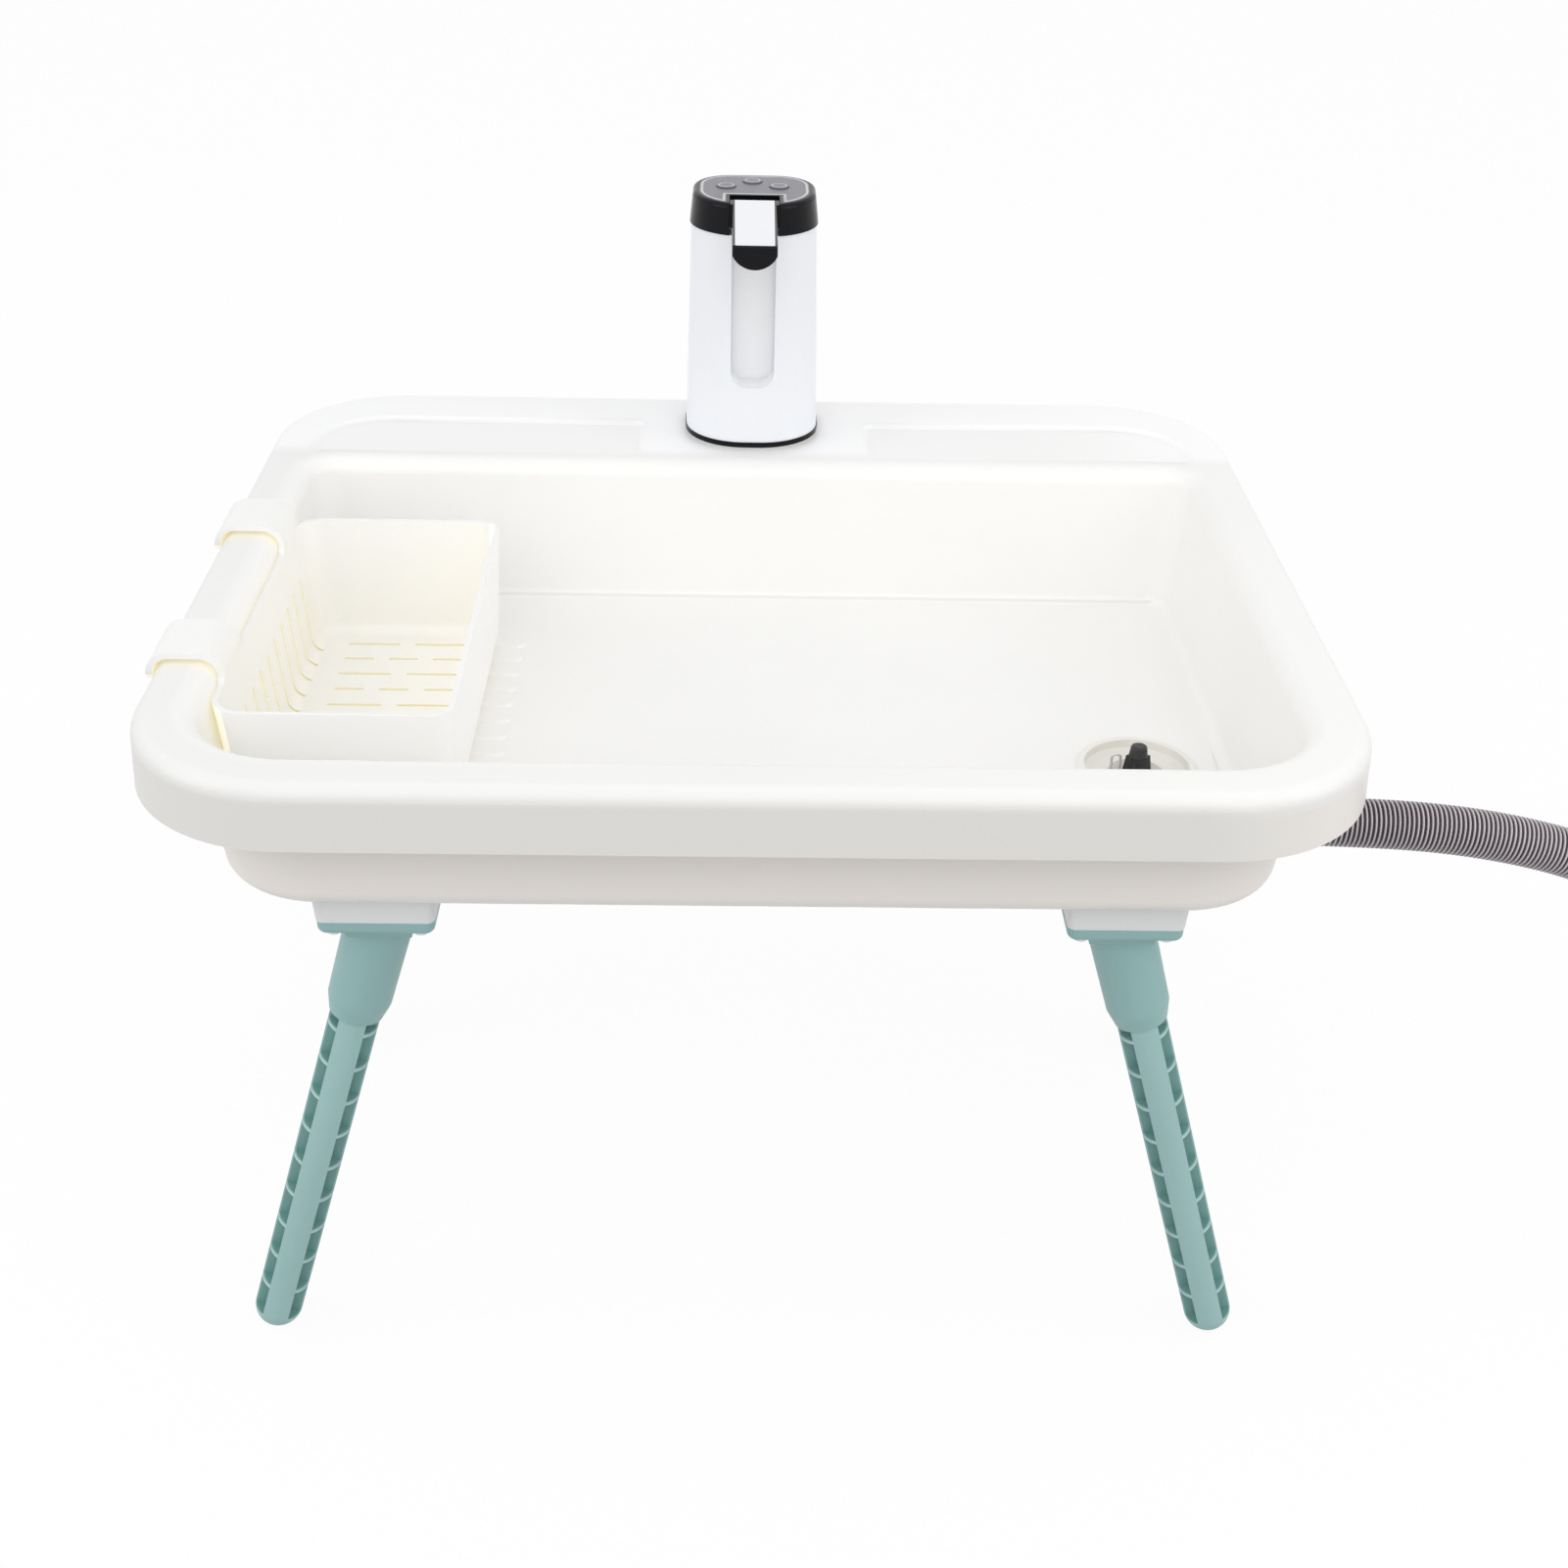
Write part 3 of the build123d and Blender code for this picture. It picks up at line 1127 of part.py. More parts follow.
# Waste hose, the free stretch: a straight-and-arc path, then ribs as rings along it
route = [Vector(*point) for point in HOSE_ROUTE]
runs = [(after - before).length for before, after in zip(route, route[1:])]
corners = zip(route, route[1:], route[2:])
turns = [radians((here - before).get_angle(after - here)) for before, here, after in corners]
hose_radii = [0.45 * min(pair) / tan(turn / 2) for *pair, turn in zip(runs, runs[1:], turns)]
print("hose radii", [round(radius) for radius in hose_radii])

with BuildLine() as hose_line:
    FilletPolyline(*HOSE_ROUTE, radius=hose_radii)
hose_path = hose_line.wire()

RIB_SHAPE = ((0.0, HOSE_VALLEY), (0.3, HOSE_VALLEY), (0.45, HOSE_RADIUS), (0.85, HOSE_RADIUS))


def hose_ring(share, radius):
    """A circle round the hose's path at a share of its length, its X axis held steady along Y."""
    plane = Plane(
        origin=hose_path.position_at(share), x_dir=(0, 1, 0), z_dir=hose_path.tangent_at(share)
    )
    return Wire([Edge.make_circle(radius, plane)])


shares = [(rib + at) / HOSE_RIBS for rib in range(HOSE_RIBS) for at, _ in RIB_SHAPE] + [1.0]
radii = [radius for _ in range(HOSE_RIBS) for _, radius in RIB_SHAPE] + [HOSE_VALLEY]
outer_rings = [hose_ring(share, radius) for share, radius in zip(shares, radii)]
inner_rings = [hose_ring(share, HOSE_BORE) for share in shares]
end_faces = [Face(outer_rings[end], [inner_rings[end]]) for end in (0, -1)]
outer_skin = Shell.make_loft(outer_rings, ruled=True).faces()
inner_skin = Shell.make_loft(inner_rings, ruled=True).faces()
hose_solid = Solid(Shell(outer_skin + inner_skin + end_faces))
with BuildPart() as drain_hose:
    add(hose_solid)
save(drain_hose, "drain_hose")
hose_length = hose_path.length
low = pi * (HOSE_VALLEY**2 - HOSE_BORE**2) * hose_length
high = pi * (HOSE_RADIUS**2 - HOSE_BORE**2) * hose_length
print("hose length", round(hose_length), "volume", round(drain_hose.part.volume))
print("a plain tube of that length", round(low), "at the valleys and", round(high), "at the ribs")

# The put-away coil: one wide half turn, then a narrower one inside it
COIL_START = HOSE_ROUTE[-1]
coil_front = COIL_START[1]
coil_x = COIL_START[0] + 2 * HOSE_RADIUS
coil_back = coil_front + 2 * COIL_OUTER_TURN
inner_front = coil_back - 2 * COIL_INNER_TURN
coil_end_x = coil_x + 2 * HOSE_RADIUS
with BuildLine(Plane.XY.offset(HOSE_RADIUS)) as coil_line:
    Line((COIL_START[0], coil_front), (coil_x, coil_front))
    CenterArc((coil_x, coil_front + COIL_OUTER_TURN), COIL_OUTER_TURN, -90, 180)
    CenterArc((coil_x, coil_back - COIL_INNER_TURN), COIL_INNER_TURN, 90, 180)
    Line((coil_x, inner_front), (coil_end_x, inner_front))
coil_path = coil_line.wire()
with BuildPart() as hose_coil:
    with BuildSketch(Plane(origin=COIL_START, x_dir=(0, 1, 0), z_dir=(1, 0, 0))):
        Circle(HOSE_RADIUS)
        Circle(HOSE_BORE, mode=Mode.SUBTRACT)
    sweep(path=coil_path)
save(hose_coil, "hose_coil")
coil_volume = pi * (HOSE_RADIUS**2 - HOSE_BORE**2) * coil_path.length
print("coil length", round(coil_path.length), "volume", round(hose_coil.part.volume))
print("section times length", round(coil_volume))

STEPS = 300
coil_points = [tuple(coil_path.position_at(step / STEPS)) for step in range(STEPS + 1)]
half_turn = round(STEPS * pi * COIL_INNER_TURN / coil_path.length)
coil_gap = min(
    dist(here, there)
    for index, here in enumerate(coil_points)
    for there in coil_points[index + half_turn :]
)
print("coil gap to itself", round(coil_gap - 2 * HOSE_RADIUS, 1))

# End cuff: a smooth sleeve with two grip grooves
cuff_plane = Plane(origin=(0, inner_front, HOSE_RADIUS), x_dir=(1, 0, 0), z_dir=(0, -1, 0))
cuff_axis = Axis((0, inner_front, HOSE_RADIUS), (1, 0, 0))
cuff_end_x = coil_end_x + CUFF_LENGTH
hose_end_cuff = revolved(
    [
        (coil_end_x, HOSE_BORE),
        (coil_end_x, HOSE_RADIUS),
        (coil_end_x + 12, HOSE_RADIUS),
        (coil_end_x + 13, HOSE_VALLEY),
        (coil_end_x + 16, HOSE_VALLEY),
        (coil_end_x + 17, HOSE_RADIUS),
        (coil_end_x + 20, HOSE_RADIUS),
        (coil_end_x + 21, HOSE_VALLEY),
        (coil_end_x + 24, HOSE_VALLEY),
        (coil_end_x + 25, HOSE_RADIUS),
        (cuff_end_x - 1, HOSE_RADIUS),
        (cuff_end_x, HOSE_RADIUS - 1),
        (cuff_end_x, HOSE_BORE),
    ],
    cuff_plane,
    cuff_axis,
)
save(hose_end_cuff, "hose_end_cuff")
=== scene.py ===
# %% [markdown]
# # Dressing a camping sink
#
# The sink is a moulded white basin on four teal legs, with a small pump tap on its back deck, a
# draining basket hooked over the left rim and a ribbed waste hose. The frame already holds every
# piece at its real size. This notebook gives each of them its surface: the solids are smoothed and
# get a finish, the hose is made again as a ribbed tube in the same place, and the control panel
# gets its border line. All lengths are in metres.

import json

import bpy
import numpy as np
from mathutils import Matrix, Vector


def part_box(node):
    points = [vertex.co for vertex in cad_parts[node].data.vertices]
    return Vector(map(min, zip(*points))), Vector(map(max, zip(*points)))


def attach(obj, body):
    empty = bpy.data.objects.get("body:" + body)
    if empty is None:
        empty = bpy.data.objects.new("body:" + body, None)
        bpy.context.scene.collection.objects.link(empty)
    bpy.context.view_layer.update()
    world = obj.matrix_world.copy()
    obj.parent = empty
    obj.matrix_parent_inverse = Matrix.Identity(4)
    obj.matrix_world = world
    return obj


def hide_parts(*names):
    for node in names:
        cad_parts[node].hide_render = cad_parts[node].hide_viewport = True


MM = 0.001
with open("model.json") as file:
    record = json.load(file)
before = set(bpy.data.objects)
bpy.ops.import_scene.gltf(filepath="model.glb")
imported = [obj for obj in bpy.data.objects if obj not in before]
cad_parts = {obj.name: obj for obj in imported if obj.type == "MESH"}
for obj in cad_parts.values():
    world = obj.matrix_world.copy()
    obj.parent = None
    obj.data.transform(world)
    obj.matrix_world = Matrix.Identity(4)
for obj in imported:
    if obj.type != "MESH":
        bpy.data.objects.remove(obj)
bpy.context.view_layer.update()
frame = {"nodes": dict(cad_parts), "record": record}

# %% [markdown]
# ## The camera
#
# A product photograph is easiest to match when the camera is set before anything else. The camera
# here stands one metre in front of the basin and 45 cm above its rim, looks down by 30 degrees and
# has a tiny roll. Its angles could be set by eye, but angles are easier to check as a matrix. A
# camera looks along its own -Z, so that matrix has three columns: right, up and backwards.

# %% Camera
CAMERA_PLACE = Vector((-9.1, -1006.2, 830.6)) * MM
CAMERA_PITCH, CAMERA_YAW, CAMERA_ROLL = np.radians([30.331, 1.563, 1.434])
PHOTO_SIZE = 1601
FOCAL_PIXELS = 2150.0
SENSOR_WIDTH = 36.0
NEAREST_SEEN = 50.0 * MM


def camera_axes(pitch, yaw, roll):
    """Right, up and forward of a camera that is turned by yaw, dipped by pitch and then rolled."""
    forward = np.array([np.sin(yaw) * np.cos(pitch), np.cos(yaw) * np.cos(pitch), -np.sin(pitch)])
    level = np.array([np.cos(yaw), -np.sin(yaw), 0.0])
    upright = np.cross(level, forward)
    right = np.cos(roll) * level + np.sin(roll) * upright
    up = np.cos(roll) * upright - np.sin(roll) * level
    return right, up, forward


camera_data = bpy.data.cameras.new("photo_camera")
camera = bpy.data.objects.new("photo_camera", camera_data)
bpy.context.scene.collection.objects.link(camera)
right, up, forward = camera_axes(CAMERA_PITCH, CAMERA_YAW, CAMERA_ROLL)
turned = Matrix(np.array([right, up, -forward]).T.tolist()).to_4x4()
camera.matrix_world = Matrix.Translation(CAMERA_PLACE) @ turned
camera_data.sensor_width = SENSOR_WIDTH
camera_data.lens = SENSOR_WIDTH * FOCAL_PIXELS / PHOTO_SIZE
camera_data.clip_start = NEAREST_SEEN
bpy.context.scene.camera = camera
bpy.context.scene.view_settings.view_transform = "Standard"
print("lens", round(camera_data.lens, 2), "mm")

# %% [markdown]
# ## Meshes from grids
#
# Nearly every new surface in this notebook is a grid of points that numpy works out in one go: rows
# run along the piece and columns run round it. One helper turns such a grid into a mesh and joins
# its last column to its first where the surface closes on itself.

# %% Grid helpers
def grid_faces(rows, columns, wrap, start=0):
    """Corner numbers of the quads between neighbouring rows and columns, wrapping round if asked."""
    row = np.arange(rows - 1)[:, None]
    column = np.arange(columns if wrap else columns - 1)[None, :]
    after = (column + 1) % columns
    here, above = row * columns, (row + 1) * columns
    quads = np.stack([here + column, here + after, above + after, above + column], axis=-1)
    return quads.reshape(-1, 4) + start


def make_piece(name, points, faces, smooth=True):
    """A mesh object at the origin from points and quads, both as whole arrays."""
    mesh = bpy.data.meshes.new(name)
    mesh.vertices.add(len(points))
    mesh.vertices.foreach_set("co", np.asarray(points, np.float32).ravel())
    mesh.loops.add(faces.size)
    mesh.loops.foreach_set("vertex_index", faces.astype(np.int32).ravel())
    mesh.polygons.add(len(faces))
    mesh.polygons.foreach_set("loop_start", np.arange(0, faces.size, faces.shape[1], dtype=np.int32))
    mesh.update(calc_edges=True)
    mesh.validate()
    if smooth:
        mesh.shade_smooth()
    piece = bpy.data.objects.new(name, mesh)
    bpy.context.scene.collection.objects.link(piece)
    return piece


# %% [markdown]
# ## The waste hose
#
# A washing-machine style hose is one soft tube whose wall is folded into hundreds of rings. It leaves the
# elbow level, sags, and lies on the floor, and the spare length is coiled up out of the picture. Its line is
# a smooth NURBS spline through listed points. The tube is then a surface along that line: distance along the
# hose sets the radius, so the rings are a formula and not a texture.

# %% Hose route
HOSE_RADIUS = 13.0 * MM
HOSE_VALLEY = 11.7 * MM
HOSE_PITCH = 2.45 * MM
HOSE_AROUND = 28
DRAIN_Y = -73.0 * MM
HOSE_ROUTE = [
    (0.240, DRAIN_Y, 0.266),
    (0.312, DRAIN_Y, 0.266),
    (0.384, DRAIN_Y, 0.260),
    (0.449, DRAIN_Y, 0.243),
    (0.4905, DRAIN_Y, 0.215),
    (0.520, DRAIN_Y, 0.175),
    (0.5385, DRAIN_Y, 0.129),
    (0.5515, DRAIN_Y, 0.090),
    (0.581, DRAIN_Y, 0.051),
    (0.624, DRAIN_Y, 0.0265),
    (0.672, DRAIN_Y, 0.013),
    (0.724, DRAIN_Y, 0.013),
]
COIL_X = 0.750
# Each half turn of the coil: its middle's Y, its radius, and the angle in degrees where it starts.
COIL_TURNS = [(0.073, 0.146, -90.0), (0.099, 0.120, 90.0)]
COIL_STEP = 15.0
CUFF_START = (0.776, -0.021, HOSE_RADIUS)

# A control point stands outside the circle that the curve follows: at it, the curve's place is 3/4 of
# the point itself plus 1/8 of each neighbour.
outside = 1 / (0.75 + 0.25 * np.cos(np.radians(COIL_STEP)))
coil_points = []
for centre_y, radius, first in COIL_TURNS:
    for step in range(round(180 / COIL_STEP)):
        angle = np.radians(first + COIL_STEP * (step + 0.5))
        x = COIL_X + outside * radius * np.cos(angle)
        y = centre_y + outside * radius * np.sin(angle)
        coil_points.append((x, y, HOSE_RADIUS))
hose_points = HOSE_ROUTE + coil_points + [(COIL_X, CUFF_START[1], HOSE_RADIUS), CUFF_START]

hose_curve = bpy.data.curves.new("hose_line", "CURVE")
hose_curve.dimensions = "3D"
hose_curve.resolution_u = 12
spline = hose_curve.splines.new("NURBS")
spline.points.add(len(hose_points) - 1)
for point, place in zip(spline.points, hose_points):
    point.co = (*place, 1.0)
spline.order_u = 3
spline.use_endpoint_u = True


def spline_points(curve):
    """The points of a curve's own line, in order, as an array."""
    carrier = bpy.data.objects.new("line_reader", curve)
    bpy.context.scene.collection.objects.link(carrier)
    line = bpy.data.meshes.new_from_object(carrier)
    places = np.array([vertex.co for vertex in line.vertices])
    bpy.data.objects.remove(carrier)
    bpy.data.meshes.remove(line)
    return places


hose_line = spline_points(hose_curve)
hose_steps = np.linalg.norm(np.diff(hose_line, axis=0), axis=1)
hose_length = float(hose_steps.sum())
print("hose length", round(hose_length, 3), "m from", len(hose_points), "points")

# %% Hose surface
# One ring of the hose in lengths of its pitch, with its share of the way from valley to crest.
RING_SHAPE = np.array([(0.0, 0.0), (0.22, 0.12), (0.40, 1.0), (0.66, 1.0), (0.84, 0.12)])


def frames_along(line, distances):
    """Places and two sideways directions at distances along a line whose tangent never points up.

    The tangent is read from the line's steps, the first side is level and square to it, and the
    second side is square to both."""
    steps = np.diff(line, axis=0)
    lengths = np.linalg.norm(steps, axis=1)
    at = np.concatenate([[0.0], np.cumsum(lengths)])
    places = np.stack([np.interp(distances, at, line[:, axis]) for axis in range(3)], axis=1)
    middles = (at[:-1] + at[1:]) / 2
    unit = steps / lengths[:, None]
    along = np.stack([np.interp(distances, middles, unit[:, axis]) for axis in range(3)], axis=1)
    along /= np.linalg.norm(along, axis=1)[:, None]
    level = np.cross(along, [0.0, 0.0, 1.0])
    level /= np.linalg.norm(level, axis=1)[:, None]
    return places, level, np.cross(level, along)


rings = round(hose_length / HOSE_PITCH)
ring_length = hose_length / rings
stations = (np.arange(rings)[:, None] + RING_SHAPE[None, :, 0]).ravel() * ring_length
share = np.tile(RING_SHAPE[:, 1], rings)
stations = np.append(stations, hose_length)
share = np.append(share, 0.0)
hose_radii = HOSE_VALLEY + (HOSE_RADIUS - HOSE_VALLEY) * share
places, level, rise = frames_along(hose_line, stations)
turn = np.linspace(0, 2 * np.pi, HOSE_AROUND, endpoint=False)
spokes = level[:, None] * np.cos(turn)[None, :, None] + rise[:, None] * np.sin(turn)[None, :, None]
hose_grid = places[:, None] + hose_radii[:, None, None] * spokes
hose = make_piece("waste_hose", hose_grid.reshape(-1, 3), grid_faces(len(stations), HOSE_AROUND, True))
crest = hose.data.attributes.new("crest", "FLOAT", "POINT")
crest.data.foreach_set("value", np.repeat(share, HOSE_AROUND).astype(np.float32))
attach(hose, "sink")
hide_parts("drain_hose", "hose_coil")
print("hose has", rings, "rings and", 2 * len(hose.data.polygons), "triangles")

# %% [markdown]
# ## The panel's border line
#
# A pale line is printed round the control panel, just inside its edge and round the notch for the
# spout. It is one closed path, four arcs and the notch's two square corners. A ribbon is carried
# along it: two copies of the path, one moved in and one moved out, and each of them low and high.

# %% Panel border
TAP_CENTRE = np.array([-1.5, 189.0]) * MM
PANEL_HALF = np.array([31.2, 29.9]) * MM
PANEL_BACK_CORNER = 19.1 * MM
PANEL_FRONT_CORNER = 28.1 * MM
NOTCH_HALF = 15.6 * MM
NOTCH_END = (178.1 - 189.0) * MM
LINE_INSET = 1.5 * MM
LINE_HALF = 0.75 * MM
LINE_RISE = 0.10 * MM
ARC_POINTS = 16
PANEL_TOP = 519.6 * MM


def panel_path(inset):
    """The panel's outline drawn in by an inset, anticlockwise from the notch's right-hand front.

    Each corner is an arc about a centre that stands a corner radius inside both sides. The first and
    last arcs stop where they meet the notch's sides, at arcsin of the remaining half width."""
    side = NOTCH_HALF + inset
    front_centre = PANEL_HALF - PANEL_FRONT_CORNER
    cut = np.arcsin((side - front_centre[0]) / (PANEL_FRONT_CORNER - inset))
    corners = [
        ((1, -1), PANEL_FRONT_CORNER, -np.pi / 2 + cut, 0.0),
        ((1, 1), PANEL_BACK_CORNER, 0.0, np.pi / 2),
        ((-1, 1), PANEL_BACK_CORNER, np.pi / 2, np.pi),
        ((-1, -1), PANEL_FRONT_CORNER, np.pi, 1.5 * np.pi - cut),
    ]
    arcs = []
    for sign, corner, first, last in corners:
        turn = np.linspace(first, last, ARC_POINTS)
        spokes = (corner - inset) * np.stack([np.cos(turn), np.sin(turn)], axis=1)
        arcs.append((PANEL_HALF - corner) * sign + spokes)
    end = NOTCH_END + inset
    notch = np.array([(-side, end), (side, end)])
    return np.concatenate([*arcs, notch]) + TAP_CENTRE


def at_height(line, height):
    """The points of a flat line, lifted to a height."""
    return np.column_stack([line, np.full(len(line), height)])


outer_line, inner_line = panel_path(LINE_INSET - LINE_HALF), panel_path(LINE_INSET + LINE_HALF)
low, high = PANEL_TOP - LINE_RISE, PANEL_TOP + LINE_RISE
corners = [(outer_line, low), (outer_line, high), (inner_line, high), (inner_line, low)]
border_grid = np.stack([at_height(line, height) for line, height in corners], axis=1)
border_grid = np.concatenate([border_grid, border_grid[:1]])
border_faces = grid_faces(len(border_grid), len(corners), True)[:, ::-1]
border = make_piece("panel_border", border_grid.reshape(-1, 3), border_faces, smooth=False)
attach(border, "tap")
print("panel border has", len(border.data.polygons), "faces")

# %% [markdown]
# ## Smooth solids
#
# The frame's solids arrive as loose flat triangles, which shows as facets on every rounded edge. A
# small Geometry Nodes group merges their corners, shades everything smooth and then marks the edges
# that turn by more than an angle as sharp. A Weighted Normal modifier after it keeps the large flat
# faces flat right up to their rounded edges.

# %% Smoothing group
SHARP_ANGLE = np.radians(32.0)
MERGE_WITHIN = 0.01 * MM


def smoothing_group():
    """Merge by distance, then smooth faces, with edges sharp where the two faces turn too far."""
    group = bpy.data.node_groups.new("smooth_solid", "GeometryNodeTree")
    group.interface.new_socket("Geometry", in_out="INPUT", socket_type="NodeSocketGeometry")
    group.interface.new_socket("Geometry", in_out="OUTPUT", socket_type="NodeSocketGeometry")
    start, end = group.nodes.new("NodeGroupInput"), group.nodes.new("NodeGroupOutput")
    merge = group.nodes.new("GeometryNodeMergeByDistance")
    merge.inputs["Distance"].default_value = MERGE_WITHIN
    faces, edges = (group.nodes.new("GeometryNodeSetShadeSmooth") for _ in range(2))
    edges.domain = "EDGE"
    angle = group.nodes.new("GeometryNodeInputMeshEdgeAngle")
    gentle = group.nodes.new("FunctionNodeCompare")
    gentle.operation = "LESS_THAN"
    gentle.inputs["B"].default_value = SHARP_ANGLE
    link = group.links.new
    link(start.outputs[0], merge.inputs["Geometry"])
    link(merge.outputs["Geometry"], faces.inputs["Geometry"])
    link(faces.outputs["Geometry"], edges.inputs["Geometry"])
    link(angle.outputs["Unsigned Angle"], gentle.inputs["A"])
    link(gentle.outputs["Result"], edges.inputs["Shade Smooth"])
    link(edges.outputs["Geometry"], end.inputs[0])
    return group


smooth_solid = smoothing_group()
for node in frame["nodes"].values():
    node.modifiers.new("smooth_solid", "NODES").node_group = smooth_solid
    weighted = node.modifiers.new("flat_faces", "WEIGHTED_NORMAL")
    weighted.keep_sharp = True
print("smoothed", len(frame["nodes"]), "solids")

# %% [markdown]
# ## Writing finishes as expressions
#
# A finish is easier to read as arithmetic than as a chain of nodes. The small class below wraps a
# socket, so that `1 - mask * 0.3` adds the Math nodes by itself. A second class holds one material
# and its nodes.

# %% Shader helpers
class Value:
    """A number in a shader that can be used in a Python expression."""

    def __init__(self, shade, socket):
        self.shade = shade
        self.socket = socket

    def combine(self, operation, first, second=0.0):
        return self.shade.node("ShaderNodeMath", {"operation": operation}, {0: first, 1: second})

    def __add__(self, other):
        return self.combine("ADD", self, other)

    def __sub__(self, other):
        return self.combine("SUBTRACT", self, other)

    def __rsub__(self, other):
        return self.combine("SUBTRACT", other, self)

    def __mul__(self, other):
        return self.combine("MULTIPLY", self, other)

    def __truediv__(self, other):
        return self.combine("DIVIDE", self, other)

    def __gt__(self, other):
        return self.combine("GREATER_THAN", self, other)

    def __lt__(self, other):
        return self.combine("LESS_THAN", self, other)

    def __abs__(self):
        return self.combine("ABSOLUTE", self)

    def power(self, other):
        return self.combine("POWER", self, other)

    def least(self, other):
        return self.combine("MINIMUM", self, other)

    def most(self, other):
        return self.combine("MAXIMUM", self, other)

    __radd__ = __add__
    __rmul__ = __mul__


class Shade:
    """One material, or the world: its node tree, and short names for the nodes that are used here."""

    def __init__(self, name, holder=None):
        self.material = holder or bpy.data.materials.new(name)
        self.material.use_nodes = True
        self.tree = self.material.node_tree
        self.tree.nodes.clear()
        self.place = None if holder else self.node("ShaderNodeTexCoord", {}, {}, "Object")

    def axes(self):
        """X, Y and Z of the object's own coordinates, in metres."""
        split = self.node("ShaderNodeSeparateXYZ", {}, {0: self.place})
        return [Value(self, split.socket.node.outputs[axis]) for axis in range(3)]

    def facing(self):
        """X, Y and Z of the surface's own direction, in the object's coordinates."""
        outward = Value(self, self.place.socket.node.outputs["Normal"])
        split = self.node("ShaderNodeSeparateXYZ", {}, {0: outward})
        return [Value(self, split.socket.node.outputs[axis]) for axis in range(3)]

    def node(self, kind, settings, inputs, output=0):
        """Adds a node, sets its settings and then its sockets, and wraps one of its outputs."""
        node = self.tree.nodes.new(kind)
        for key, setting in settings.items():
            setattr(node, key, setting)
        for key, given in inputs.items():
            if isinstance(given, Value):
                self.tree.links.new(given.socket, node.inputs[key])
            else:
                node.inputs[key].default_value = given
        return None if output is None else Value(self, node.outputs[output])

    def noise(self, size, detail=2.0, roughness=0.5, stretch=(1, 1, 1)):
        """Cloudy noise from 0 to 1 whose blobs are about size across, in metres."""
        scaled = self.node("ShaderNodeMapping", {}, {"Vector": self.place, "Scale": stretch})
        settings = {"Vector": scaled, "Scale": 0.5 / size, "Detail": detail, "Roughness": roughness}
        return self.node("ShaderNodeTexNoise", {}, settings, "Fac")

    def between(self, value, low, high, new_low=0.0, new_high=1.0):
        """Moves a value from the range low..high to another range, and stops it there."""
        inputs = {"Value": value, "From Min": low, "From Max": high, "To Min": new_low, "To Max": new_high}
        return self.node("ShaderNodeMapRange", {"clamp": True}, inputs)

    def mix(self, factor, first, second):
        """A colour between two colours."""
        inputs = {"Factor": factor, "A": colour(first), "B": colour(second)}
        return self.node("ShaderNodeMix", {"data_type": "RGBA"}, inputs, "Result")

    def bump(self, height, distance, strength=1.0):
        """A normal that is tilted by a height, given in units of distance."""
        inputs = {"Height": height, "Distance": distance, "Strength": strength}
        return self.node("ShaderNodeBump", {}, inputs, "Normal")

    def finish(self, **inputs):
        """Ends the material in one Principled shader. Underscores in a name stand for spaces."""
        named = {key.replace("_", " "): given for key, given in inputs.items()}
        surface = self.node("ShaderNodeBsdfPrincipled", {}, named, "BSDF")
        self.node("ShaderNodeOutputMaterial", {}, {"Surface": surface}, None)
        return self.material


def colour(value):
    """Colours may be given as three numbers or as a socket."""
    return value if isinstance(value, Value) else (*value, 1.0)


# %% [markdown]
# ## Moulded plastic
#
# Nearly everything here is injection-moulded. Up close such a surface isn't one colour: its tone
# drifts a little over a hand's width, its gloss is uneven where it was handled, it has a fine grain
# from the mould, and the skin sinks by hundredths of a millimetre between thick and thin places.
# One function with a few numbers makes all of these finishes.

# %% Plastic finish
CLOUD_SIZE, SPECK_SIZE, STREAK_SIZE = 50.0 * MM, 4.0 * MM, 10.0 * MM
GRAIN_SIZE, SINK_SIZE, SKIN_DEPTH = 1.0 * MM, 30.0 * MM, 0.06 * MM
SCUFFS, CLOUD_ROUGHNESS, SINK = 0.06, 0.08, 0.8


def plastic(name, tint, gloss, drift=0.03, grain=0.3, paint=None, glow=None, **constants):
    """Moulded plastic of one tint.

    Tone = tint times 1 +- drift over 5 cm clouds. Roughness = gloss plus scuffs where a stretched
    noise is high. Height = a 1 mm grain plus a slow 30 mm sink, in units of the skin's depth.
    A paint function may change the tone by place, a glow function gives the light that comes through
    the wall, and constants go to the shader's own sockets."""
    shade = Shade(name)
    cloud = shade.noise(CLOUD_SIZE, detail=3.0)
    speck = shade.noise(SPECK_SIZE, detail=2.0)
    tone = shade.between(cloud * 0.8 + speck * 0.2, 0.35, 0.65)
    darker = tuple(part * (1 - drift) for part in tint)
    lighter = tuple(min(1.0, part * (1 + drift * 0.5)) for part in tint)
    base = shade.mix(tone, darker, lighter)
    if paint:
        base = paint(shade, base)
    streaks = shade.between(shade.noise(STREAK_SIZE, detail=4.0, stretch=(1.0, 0.3, 2.5)), 0.52, 0.75)
    roughness = (streaks * SCUFFS + gloss) + (cloud - 0.5) * CLOUD_ROUGHNESS
    height = shade.noise(GRAIN_SIZE, detail=1.0) * grain + shade.noise(SINK_SIZE, detail=1.0) * SINK
    if glow:
        constants.update(Emission_Color=glow(shade), Emission_Strength=1.0)
    return shade.finish(
        Base_Color=base,
        Roughness=roughness,
        Normal=shade.bump(height, SKIN_DEPTH, 0.6),
        **constants,
    )


# %% [markdown]
# ## Bare metal
#
# The hose clamp, the screws and the pump motor's can are metal. Metal has no colour of its own apart
# from what it mirrors, so its tint goes to the mirror, and its character comes from fine brush lines
# that change both roughness and height.

